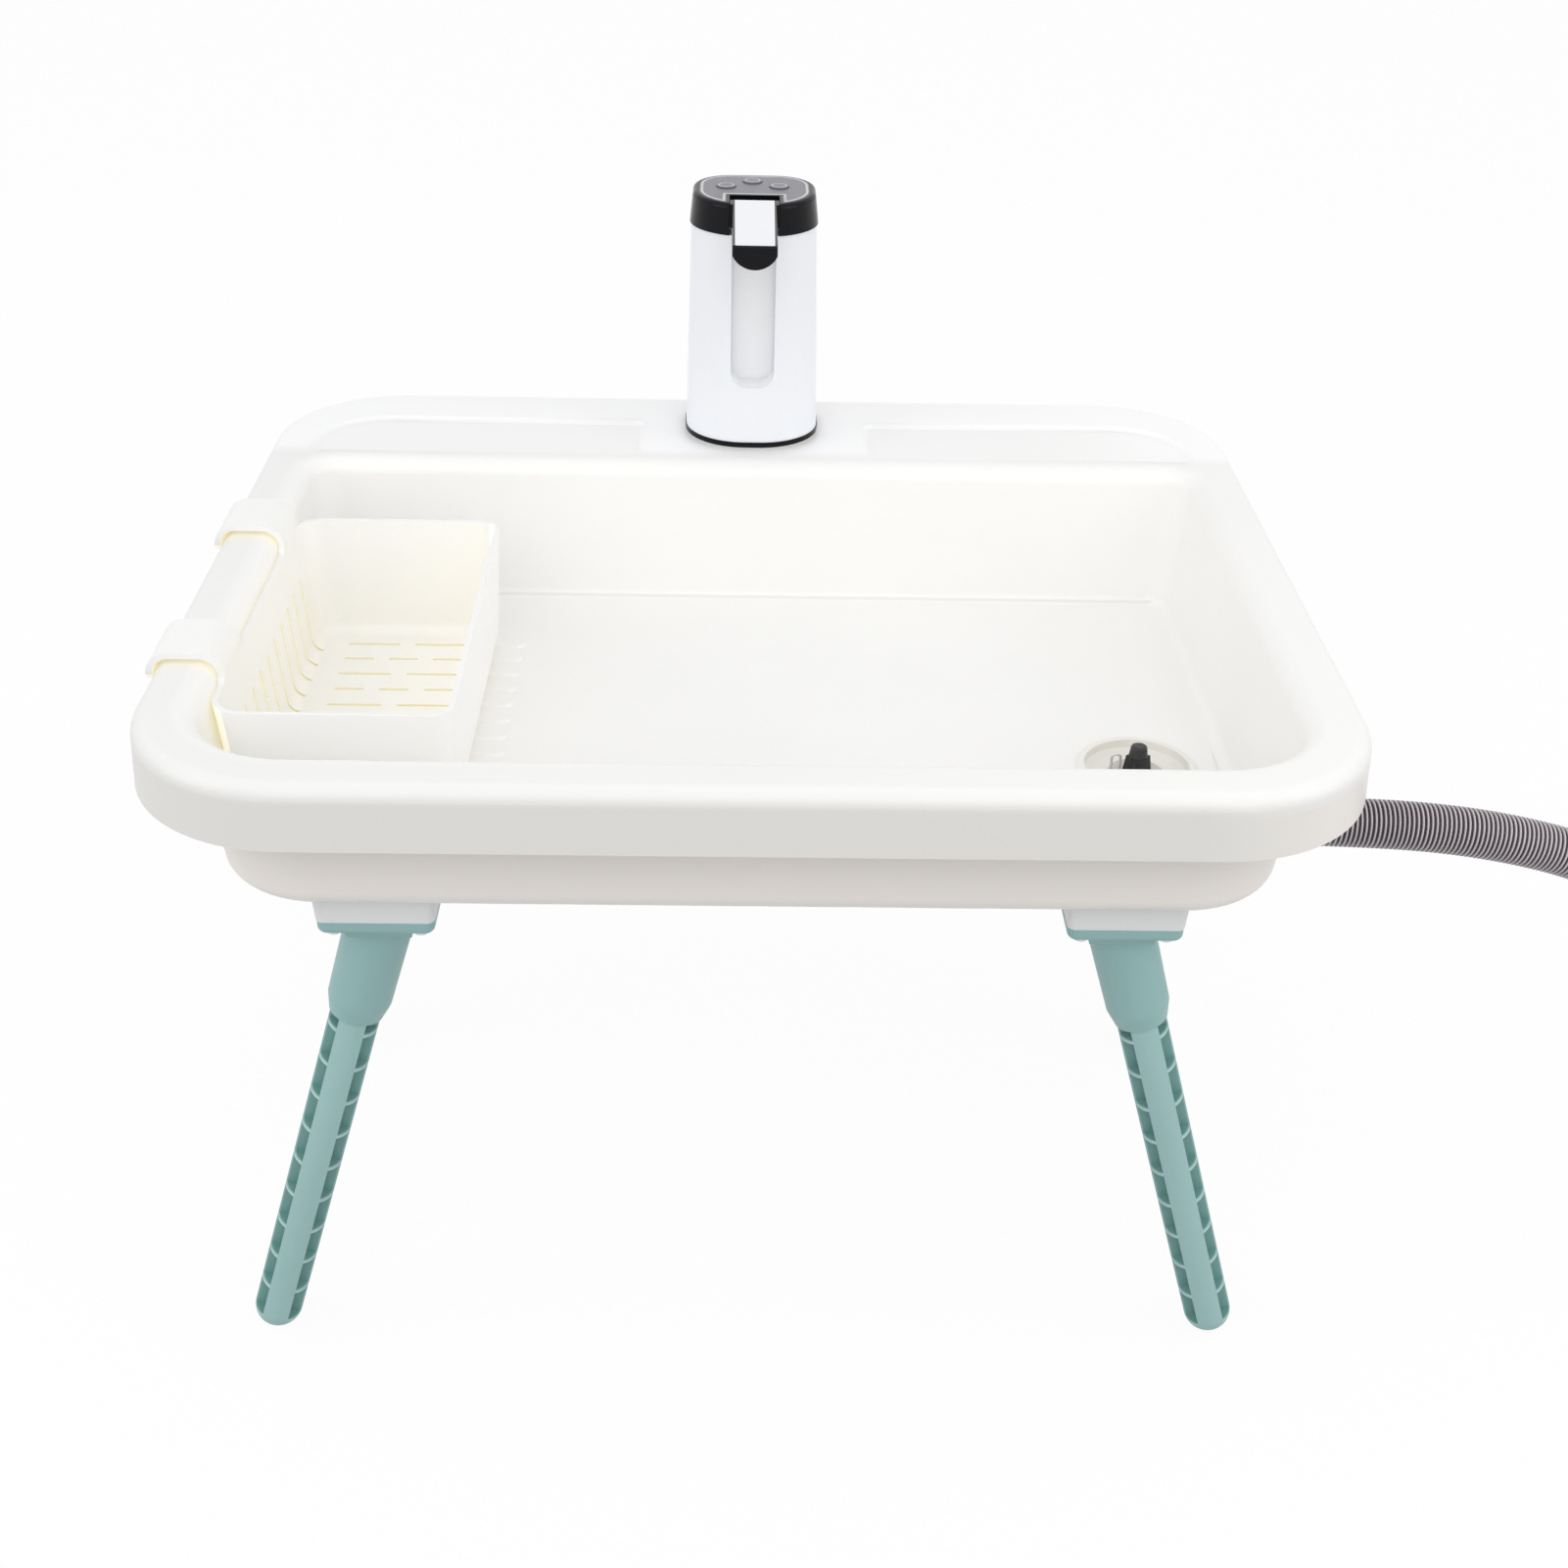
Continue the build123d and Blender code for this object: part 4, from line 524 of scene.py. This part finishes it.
# %% Metal finish
LINE_SIZE, DULL_SIZE, LINE_DEPTH = 1.5 * MM, 10.0 * MM, 0.03 * MM


def metal(name, tint, brush=(1.0, 1.0, 12.0)):
    """Bare metal: a tint, with roughness and bump from fine noise that is stretched along its brushing."""
    shade = Shade(name)
    lines = shade.noise(LINE_SIZE, detail=3.0, stretch=brush)
    dull = shade.noise(DULL_SIZE, detail=3.0)
    return shade.finish(
        Base_Color=shade.mix(dull, tuple(part * 0.85 for part in tint), tint),
        Metallic=1.0,
        Roughness=lines * 0.16 + dull * 0.12 + 0.16,
        Normal=shade.bump(lines, LINE_DEPTH, 0.5),
    )


# %% [markdown]
# ## Colour that follows the shape
#
# Some painted shade belongs to a place and not to a whole piece: the legs are painted darker down in their
# pockets and the hose in its grooves. Such tones could be painted on an image, but an image needs an
# unwrapped mesh and blurs close up. Here each one is a paint function instead. It gets the material and its
# base colour, and returns another colour that is worked out from Object coordinates, so it stays sharp at
# any distance. Two of them need the distance to the nearest of many equal steps.

# %% Nearest of a row
def from_nearest(value, step):
    """Distance of a value from the nearest whole multiple of a step: the step times |t - round(t)|."""
    turns = value / step + 0.5
    return abs(turns - turns.combine("FLOOR", turns) - 0.5) * step


# %% [markdown]
# ## The legs' pockets
#
# A leg is a flat bar with a ladder of open pockets on both sides, and thin discs between the pockets.
# Little light reaches the bottom of a pocket, and the sharp rims of the discs catch it all, so the
# teal looks darker in the one and paler on the other. The paint measures across and along the
# slanted leg to find both. All four legs are mirror images, so one formula serves them.

# %% Leg pockets
LEG_SPLAY = np.radians(16.25)
LEG_OUT, LEG_SIDEWAYS, LEG_TOP = 175.5 * MM, 125.0 * MM, 270.0 * MM
LEGS_MIDDLE = -40.0 * MM
BACK_LEGS_OUT = 4.0 * MM
LADDER_START, LADDER_END = 70.0 * MM, 272.0 * MM
FIRST_DISC, DISC_PITCH, DISC_HALF = 73.0 * MM, 22.05 * MM, 1.0 * MM
BAR_HALF = 6.70 * MM
POCKET_RADIUS = 11.6 * MM
POCKET_TEAL, POCKET_STRENGTH = (0.150, 0.330, 0.300), 0.75
RIM_TEAL, RIM_STRENGTH = (0.46, 0.66, 0.65), 0.8


def leg_paint(shade, base):
    """Darker in the pockets and paler on the thin discs' rims.

    |x| and |y - middle| fold the four legs onto one. Across and along are the folded place turned by
    the splay, and a disc stands at every pitch along the leg."""
    x, y, z = shade.axes()
    out = abs(x) - ((y > LEGS_MIDDLE) * BACK_LEGS_OUT + LEG_OUT)
    sideways = abs(y - LEGS_MIDDLE) - LEG_SIDEWAYS
    down = LEG_TOP - z
    across = out * np.cos(LEG_SPLAY) - down * np.sin(LEG_SPLAY)
    along = out * np.sin(LEG_SPLAY) + down * np.cos(LEG_SPLAY)
    from_axis = (across * across + sideways * sideways).power(0.5)
    on_disc = from_nearest(along - FIRST_DISC, DISC_PITCH) < DISC_HALF
    beside_bar = (abs(across) > BAR_HALF) * (along > LADDER_START) * (along < LADDER_END)
    inside = from_axis < POCKET_RADIUS
    pocket = beside_bar * inside * POCKET_STRENGTH
    rim = beside_bar * on_disc * (1.0 - inside) * RIM_STRENGTH
    return shade.mix(rim, shade.mix(pocket, base, POCKET_TEAL), RIM_TEAL)


print("a leg has", int((LADDER_END - FIRST_DISC) / DISC_PITCH) + 1, "discs")

# %% [markdown]
# ## The hose's grooves
#
# Between its rings the hose is nearly black, because the bottom of a groove sees only a narrow strip
# of light. The hose's mesh carries an attribute that says where its crests are, so this paint needs
# no pattern of its own and follows every bend.

# %% Hose grooves
GROOVE_DARK = (0.034, 0.025, 0.029)
DARK_UP_TO = 0.35


def hose_paint(shade, base):
    """Dark in the grooves, by the crest attribute, which is 0 in a groove and 1 on a ring."""
    crest = shade.node("ShaderNodeAttribute", {"attribute_name": "crest"}, {}, "Fac")
    return shade.mix(shade.between(crest, DARK_UP_TO, 1.0), GROOVE_DARK, base)


# %% [markdown]
# ## The basin's painted light and shade
#
# The basin is one white moulding, and light from all round leaves its parts only a few tones apart: a warm
# underside, a shaded skirt, a rim that is greyer on the left and a deck that is nearly white. Lamps could be
# moved until each part has its tone, but that light would be wrong from every other side. So this light and
# shade is painted into the colour: painted shade on the underside, skirt and rim, and painted light on the
# deck and towards the right, picked by height and by the distance outwards from the bowl's wall.

# %% Distance from the bowl
RIM_TOP = 378.0 * MM
BOWL_HALF_WIDTH, SIDE_DRAFT = 252.0 * MM, 0.1
BOWL_FRONT, FRONT_DRAFT, FRONT_CORNER = -210.0 * MM, 0.05, 47.0 * MM
BOWL_BACK, BACK_DRAFT, BACK_CORNER = 129.0 * MM, 0.106, 15.0 * MM
BOWL_MIDDLE = -40.0 * MM


def outside_bowl(x, y, z):
    """Distance outwards from the bowl's inner wall, in metres, less than zero inside the bowl.

    The wall is a drafted box with round corners. For such a box the distance is the length of the
    part of (|x|, |y|) that passes the corner's centre, less the corner's radius."""
    depth = RIM_TOP - z
    half_width = BOWL_HALF_WIDTH - depth * SIDE_DRAFT
    front = depth * FRONT_DRAFT + BOWL_FRONT
    back = BOWL_BACK - depth * BACK_DRAFT
    radius = (y < BOWL_MIDDLE) * (FRONT_CORNER - BACK_CORNER) + BACK_CORNER
    past_x = abs(x) - half_width + radius
    past_y = abs(y - (front + back) * 0.5) - (back - front) * 0.5 + radius
    wide, deep = past_x.most(0.0), past_y.most(0.0)
    return (wide * wide + deep * deep).power(0.5) + past_x.most(past_y).least(0.0) - radius


# %% Basin's painted light and shade
# Painted shade: the underside, the skirt and the rim's outer part. Painted light: the deck, whiter towards
# the right.
UNDER_SHADE_TONE = (0.930, 0.885, 0.845)
UNDER_OUT, UNDER_TOP, FLOOR_UNDERSIDE = 1.5 * MM, 367.5 * MM, 295.6 * MM
SKIRT_SHADE_TONE = (0.790, 0.780, 0.750)
SKIRT_OUT, SKIRT_FADE = 15.0 * MM, (369.0 * MM, 377.5 * MM)
LIT_CORNER_FADE, LIT_CORNER_STRENGTH = (190.0 * MM, 262.0 * MM), 0.8
TOP_FACES = 372.0 * MM
DECK_LIGHT_TONE, DECK_LIGHT_TONE_RIGHT = (0.962, 0.965, 0.971), (0.998, 0.998, 0.999)
DECK_FADE = (140.0 * MM, 150.0 * MM)
RIM_SHADE_TONE, RIM_FADE = (0.868, 0.867, 0.862), (4.0 * MM, 12.0 * MM)
SINK_HALF = 250.0 * MM
RIM_PALER_RIGHT = 0.85
# Painted shade in the crease along the back wall's foot.
CREASE_SHADE_TONE, CREASE_SHADE_STRENGTH = (0.62, 0.61, 0.60), 0.35
CREASE_Y, CREASE_Z, CREASE_END = 118.74 * MM, 299.76 * MM, 238.0 * MM
CREASE_FADE = (0.5 * MM, 1.3 * MM)


def shell_light_and_shade(shade, base):
    """Painted shade on the underside, skirt and rim, painted light on the deck, and a fine line of painted
    shade in the crease along the back wall's foot.

    The crease's painted shade lies where the distance from a line along X is small. That line runs in the
    rounded edge between the floor and the back wall."""
    x, y, z = shade.axes()
    outward = outside_bowl(x, y, z)
    to_right = shade.between(x, -SINK_HALF, SINK_HALF)
    on_top = z > TOP_FACES
    under = ((outward > UNDER_OUT) * (z < UNDER_TOP)).most(z < FLOOR_UNDERSIDE)
    lit_corner = shade.between(x, *LIT_CORNER_FADE, 0.0, LIT_CORNER_STRENGTH)
    skirt = (outward > SKIRT_OUT) * shade.between(z, *SKIRT_FADE, 1.0, 0.0) * (1.0 - lit_corner)
    deck = shade.between(y, *DECK_FADE) * on_top
    rim = shade.between(outward, *RIM_FADE) * on_top * (1.0 - deck) * (1.0 - to_right * RIM_PALER_RIGHT)
    # Painted shade: a dark line where the floor meets the back wall.
    behind, above = y - CREASE_Y, z - CREASE_Z
    from_line = (behind * behind + above * above).power(0.5)
    crease = shade.between(from_line, *CREASE_FADE, 1.0, 0.0) * (abs(x) < CREASE_END)
    # Painted light on the deck, then painted shade on the rim, the underside and the skirt.
    tone = shade.mix(deck, base, shade.mix(to_right, DECK_LIGHT_TONE, DECK_LIGHT_TONE_RIGHT))
    tone = shade.mix(rim, tone, RIM_SHADE_TONE)
    tone = shade.mix(skirt, shade.mix(under, tone, UNDER_SHADE_TONE), SKIRT_SHADE_TONE)
    return shade.mix(crease * CREASE_SHADE_STRENGTH, tone, CREASE_SHADE_TONE)


# %% [markdown]
# ## The tap's groove and buttons
#
# The tap's front has an upright groove for the folded spout, whose two sides light each other and so
# look paler than the body. The three buttons on top each carry a printed ring. A decal would do for
# them, but a ring is simply the points at one distance from a middle, and the frame already knows
# where each button's middle is.

# %% Tap groove
GROOVE_HALF, GROOVE_EDGE = 11.9 * MM, 1.5 * MM
GROOVE_TOP = 500.0 * MM
GROOVE_DEPTH_FADE = (155.5 * MM, 158.0 * MM)
GROOVE_TONE = (0.985, 0.990, 1.0)


def tap_paint(shade, base):
    """Paler in the groove: |x - middle| is under its half width, and y lies behind the tap's front."""
    x, y, z = shade.axes()
    from_middle = abs(x - float(TAP_CENTRE[0]))
    in_groove = shade.between(from_middle, GROOVE_HALF - GROOVE_EDGE, GROOVE_HALF, 1.0, 0.0)
    behind_front = shade.between(y, *GROOVE_DEPTH_FADE)
    return shade.mix(in_groove * (z < GROOVE_TOP) * behind_front, base, GROOVE_TONE)


# %% Button rings
BUTTONS = ("button_left", "button_middle", "button_right")
RING_RADIUS, RING_HALF, RING_FULL = 4.1 * MM, 0.45 * MM, 0.27 * MM
RING_TONE = (0.55, 0.55, 0.60)


def button_paint(shade, base):
    """A pale ring on each button, where the distance from the button's middle is the ring's radius."""
    x, y, z = shade.axes()
    rings = []
    for button in BUTTONS:
        (low_x, low_y, _), (high_x, high_y, _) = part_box(button)
        across, along = x - (low_x + high_x) / 2, y - (low_y + high_y) / 2
        from_ring = abs((across * across + along * along).power(0.5) - RING_RADIUS)
        rings.append(shade.between(from_ring, RING_FULL, RING_HALF, 1.0, 0.0))
    any_ring = rings[0].most(rings[1]).most(rings[2])
    return shade.mix(any_ring * (z > PANEL_TOP - 0.5 * MM), base, RING_TONE)


print("rings on", len(BUTTONS), "buttons")

# %% [markdown]
# ## The basket
#
# The basket is so thin that light comes through it, and it glows warm where it faces the sink. Full
# subsurface scattering could do that, but it takes over the whole colour and tints the thick hooks. So only
# a quarter of the light scatters, and the rest of the glow is painted light: a weak emission that depends on
# which way a face turns. The golden light in its slots is painted too, as a golden colour on their own
# walls, and so is a warm tint towards the bottom.

# %% Basket slots
SLOT_STEP, SLOT_BACK_ROW = 8.9 * MM, 44.9 * MM
SLOT_HALF, SLOT_EDGE = 1.1 * MM, 0.13 * MM
FLOOR_SLOTS_TOP, WALL_SLOTS_TOP, WALL_SLOTS_X = 302.4 * MM, 345.5 * MM, -236.0 * MM
# Painted light: the slots' golden glow and a warm tint towards the bottom.
SLOT_PAINTED_GLOW = (0.90, 0.86, 0.66)
BASKET_WARM_LIGHT, WARM_FADE, WARM_STRENGTH = (0.925, 0.905, 0.865), (299.0 * MM, 350.0 * MM), 0.5


def slot_walls(x, y, z):
    """1 on the walls of the slots, which stand in rows, in turn in the floor and in the left wall.

    A point is on a slot's wall where its distance from the nearest row is half a slot's width."""
    slotted = (z < FLOOR_SLOTS_TOP).most((x < WALL_SLOTS_X) * (z < WALL_SLOTS_TOP))
    from_row = from_nearest(SLOT_BACK_ROW - y, SLOT_STEP)
    return (abs(from_row - SLOT_HALF) < SLOT_EDGE) * slotted


def basket_painted_light(shade, base):
    """Painted light: cream at the top and warmer towards the bottom, and golden on the walls of the slots,
    for the light that comes through the thin plastic.
    """
    x, y, z = shade.axes()
    warm = shade.between(z, *WARM_FADE, WARM_STRENGTH, 0.0)
    return shade.mix(slot_walls(x, y, z), shade.mix(warm, base, BASKET_WARM_LIGHT), SLOT_PAINTED_GLOW)


# %% Basket glow
# Painted light: emission colours that stand in for light coming through the basket's wall.
WALL_GLOW = (0.052, 0.050, 0.046)
FLOOR_GLOW = (0.034, 0.032, 0.024)
SLOT_GLOW = (0.105, 0.094, 0.050)
GAP_GOLD_GLOW = (0.300, 0.268, 0.150)
UNDERSIDE_GOLD_GLOW = (0.100, 0.088, 0.056)
WALL_BAND = 10.0 * MM
LEFT_WALL_X, FLAPS_X = -262.0 * MM, -270.0 * MM
INSIDE_FLOOR_TOP, UNDERSIDE_TOP = 320.0 * MM, 305.0 * MM


def basket_glow(shade):
    """Painted light, as emission, for light through the thin plastic: a trace on walls and floor, golden on
    the sides that face the sink.

    Those sides are the ones that point down, the left wall's outside, and the inside of the flaps."""
    (_, front_y, _), (right_x, _, _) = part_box("basket")
    x, y, z = shade.axes()
    across, along, upward = shade.facing()
    left_wall_outside = (across < -0.6) * (x > LEFT_WALL_X)
    flap_inside = (across > 0.5) * (x < FLAPS_X)
    faces_sink = (upward < -0.3).most(left_wall_outside).most(flap_inside)
    inside_floor = shade.between(upward, 0.3, 0.9) * (z < INSIDE_FLOOR_TOP)
    front_wall = (y < front_y + WALL_BAND) * (along < -0.5)
    right_wall = (x > right_x - WALL_BAND) * (across > 0.5)
    # Painted light: a faint glowing trace, and golden where the basket faces the sink.
    trace = shade.mix(inside_floor, (0.0, 0.0, 0.0), FLOOR_GLOW)
    trace = shade.mix(front_wall.most(right_wall), trace, WALL_GLOW)
    gold_glow = shade.mix(z < UNDERSIDE_TOP, GAP_GOLD_GLOW, UNDERSIDE_GOLD_GLOW)
    return shade.mix(slot_walls(x, y, z), shade.mix(faces_sink, trace, gold_glow), SLOT_GLOW)


# %% [markdown]
# ## One finish for every slot
#
# The frame's record gives each piece a material slot, which stands for what the real piece is made
# of: white and teal mouldings, black and grey trim, clear tube, steel. Each slot gets one finish from
# the two functions above, so pieces of the same material look the same.

# %% Finishes of basin, legs and basket
FINISHES = {
    "white_shell": plastic("white_shell", (0.945, 0.940, 0.925), gloss=0.36, drift=0.012, paint=shell_light_and_shade),
    "leg_pads": plastic("leg_pads", (0.83, 0.84, 0.845), gloss=0.4, drift=0.015),
    "leg_sockets": plastic("leg_sockets", (0.300, 0.505, 0.500), gloss=0.42, drift=0.03),
    "teal_legs": plastic("teal_legs", (0.350, 0.560, 0.555), gloss=0.42, drift=0.03, paint=leg_paint),
    "basket_white": plastic(
        "basket_white",
        (0.915, 0.912, 0.905),
        gloss=0.38,
        drift=0.006,
        paint=basket_painted_light,
        glow=basket_glow,
        Subsurface_Weight=0.25,
        Subsurface_Radius=(1.0, 0.9, 0.7),
        Subsurface_Scale=0.003,
    ),
}

# %% Finishes of tap, drain and hose
FINISHES |= {
    "tap_white": plastic(
        "tap_white", (0.885, 0.905, 0.945), gloss=0.16, drift=0.006, grain=0.05, paint=tap_paint
    ),
    "tap_black": plastic(
        "tap_black", (0.006, 0.006, 0.008), gloss=0.16, grain=0.1, Specular_IOR_Level=0.14
    ),
    "panel_grey": plastic("panel_grey", (0.160, 0.156, 0.188), gloss=0.3, paint=button_paint),
    "border_grey": plastic("border_grey", (0.62, 0.62, 0.65), gloss=0.35),
    "drain_grey": plastic("drain_grey", (0.90, 0.88, 0.83), gloss=0.32, drift=0.03),
    "seal_black": plastic("seal_black", (0.02, 0.02, 0.02), gloss=0.55),
    "dark_plastic": plastic("dark_plastic", (0.022, 0.022, 0.024), gloss=0.4),
    "stopper_disc": plastic("stopper_disc", (0.62, 0.60, 0.56), gloss=0.3),
    "hose_grey": plastic("hose_grey", (0.66, 0.595, 0.645), gloss=0.4, paint=hose_paint),
    "cuff_grey": plastic("cuff_grey", (0.15, 0.13, 0.13), gloss=0.4),
}

# %% Finishes of the inner parts and the metal
FINISHES |= {
    "circuit_board": plastic("circuit_board", (0.02, 0.12, 0.04), gloss=0.4),
    "inner_plastic": plastic("inner_plastic", (0.76, 0.755, 0.72), gloss=0.4),
    "battery_wrap": plastic("battery_wrap", (0.03, 0.10, 0.30), gloss=0.25),
    "clear_tube": plastic("clear_tube", (0.66, 0.67, 0.66), gloss=0.25),
    "steel": metal("steel", (0.72, 0.71, 0.69)),
    "screws": metal("screws", (0.70, 0.70, 0.69), brush=(1.0, 1.0, 1.0)),
    "pump_motor": metal("pump_motor", (0.66, 0.66, 0.65)),
}
print("made", len(FINISHES), "finishes")

# %% Put the finishes on
slot_of = {entry["node"]: entry["material_slot"] for entry in frame["record"]["subparts"]}
for name, node in frame["nodes"].items():
    node.data.materials.clear()
    node.data.materials.append(FINISHES[slot_of[name]])
hose.data.materials.append(FINISHES["hose_grey"])
border.data.materials.append(FINISHES["border_grey"])
print("dressed", len(slot_of), "solids and 2 new pieces")

# %% [markdown]
# ## The white floor
#
# The sink stands on white that has no end. A floor that is only lit like the sink would come out
# grey, and more light on it would burn the sink out too. So the floor is a mix: plain white emission
# for the rays that are seen, from the camera or off a gloss, and a small part of it a lit surface,
# which keeps the sink's soft shadow. Light that bounces from the floor comes from its lit grey alone.

# %% Rays that are seen
SEEN_RAYS = ("Is Camera Ray", "Is Glossy Ray", "Is Transmission Ray")


def seen_rays(shade):
    """1 for the rays that show the background: from the camera, off a gloss or through something clear."""
    rays = shade.node("ShaderNodeLightPath", {}, {}).socket.node.outputs
    camera_ray, glossy_ray, clear_ray = (Value(shade, rays[name]) for name in SEEN_RAYS)
    return (camera_ray + glossy_ray + clear_ray).least(1.0)


# %% Floor
FLOOR_SIZE = 12.0
FLOOR_WHITE = 0.93
FLOOR_GREY = (0.5, 0.5, 0.5)
WHITE = (1.0, 1.0, 1.0)

half = FLOOR_SIZE / 2
floor_corners = [(-half, -half, 0), (half, -half, 0), (half, half, 0), (-half, half, 0)]
floor_mesh = bpy.data.meshes.new("floor")
floor_mesh.from_pydata(floor_corners, [], [(0, 1, 2, 3)])
floor = bpy.data.objects.new("floor", floor_mesh)
bpy.context.scene.collection.objects.link(floor)

shade = Shade("floor_white")
seen = seen_rays(shade)
lit = shade.node("ShaderNodeBsdfDiffuse", {}, {"Color": shade.mix(seen, FLOOR_GREY, WHITE)}, "BSDF")
white = shade.node("ShaderNodeEmission", {}, {"Color": colour(WHITE), "Strength": 1.0}, "Emission")
blend = shade.node("ShaderNodeMixShader", {}, {0: seen * FLOOR_WHITE, 1: lit, 2: white}, "Shader")
shade.node("ShaderNodeOutputMaterial", {}, {"Surface": blend}, None)
floor.data.materials.append(shade.material)
print("floor is", FLOOR_SIZE, "m wide")

# %% [markdown]
# ## The light
#
# The sink is lit from all round by a plain white world. Three large lamps, in front and at both
# sides, add just enough direction to round off its edges. The world's level is below one, so white
# plastic doesn't burn out, but the rays that are seen find it at one, as white as the floor.

# %% World
STUDIO_LEVEL = 0.777

world = bpy.data.worlds.new("studio")
bpy.context.scene.world = world
shade = Shade("studio", world)
level = shade.between(seen_rays(shade), 0.0, 1.0, STUDIO_LEVEL, 1.0)
studio = shade.node("ShaderNodeBackground", {}, {"Color": colour(WHITE), "Strength": level}, "Background")
shade.node("ShaderNodeOutputWorld", {}, {"Surface": studio}, None)


# %% Lamps
def softbox(name, place, aim, width, depth, watts):
    """A rectangular lamp at a place, turned to face a point."""
    lamp = bpy.data.lights.new(name, "AREA")
    lamp.shape = "RECTANGLE"
    lamp.size, lamp.size_y, lamp.energy = width, depth, watts
    holder = bpy.data.objects.new(name, lamp)
    bpy.context.scene.collection.objects.link(holder)
    holder.location = place
    holder.rotation_euler = (Vector(aim) - Vector(place)).to_track_quat("-Z", "Y").to_euler()
    return holder


softbox("front_box", (0.0, -2.0, 2.0), (0, 0, 0.35), 2.6, 1.6, 13.7)
for name, side in (("left_box", -1.6), ("right_box", 1.6)):
    softbox(name, (side, -0.6, 1.2), (0, 0, 0.4), 0.9, 1.4, 5.0)
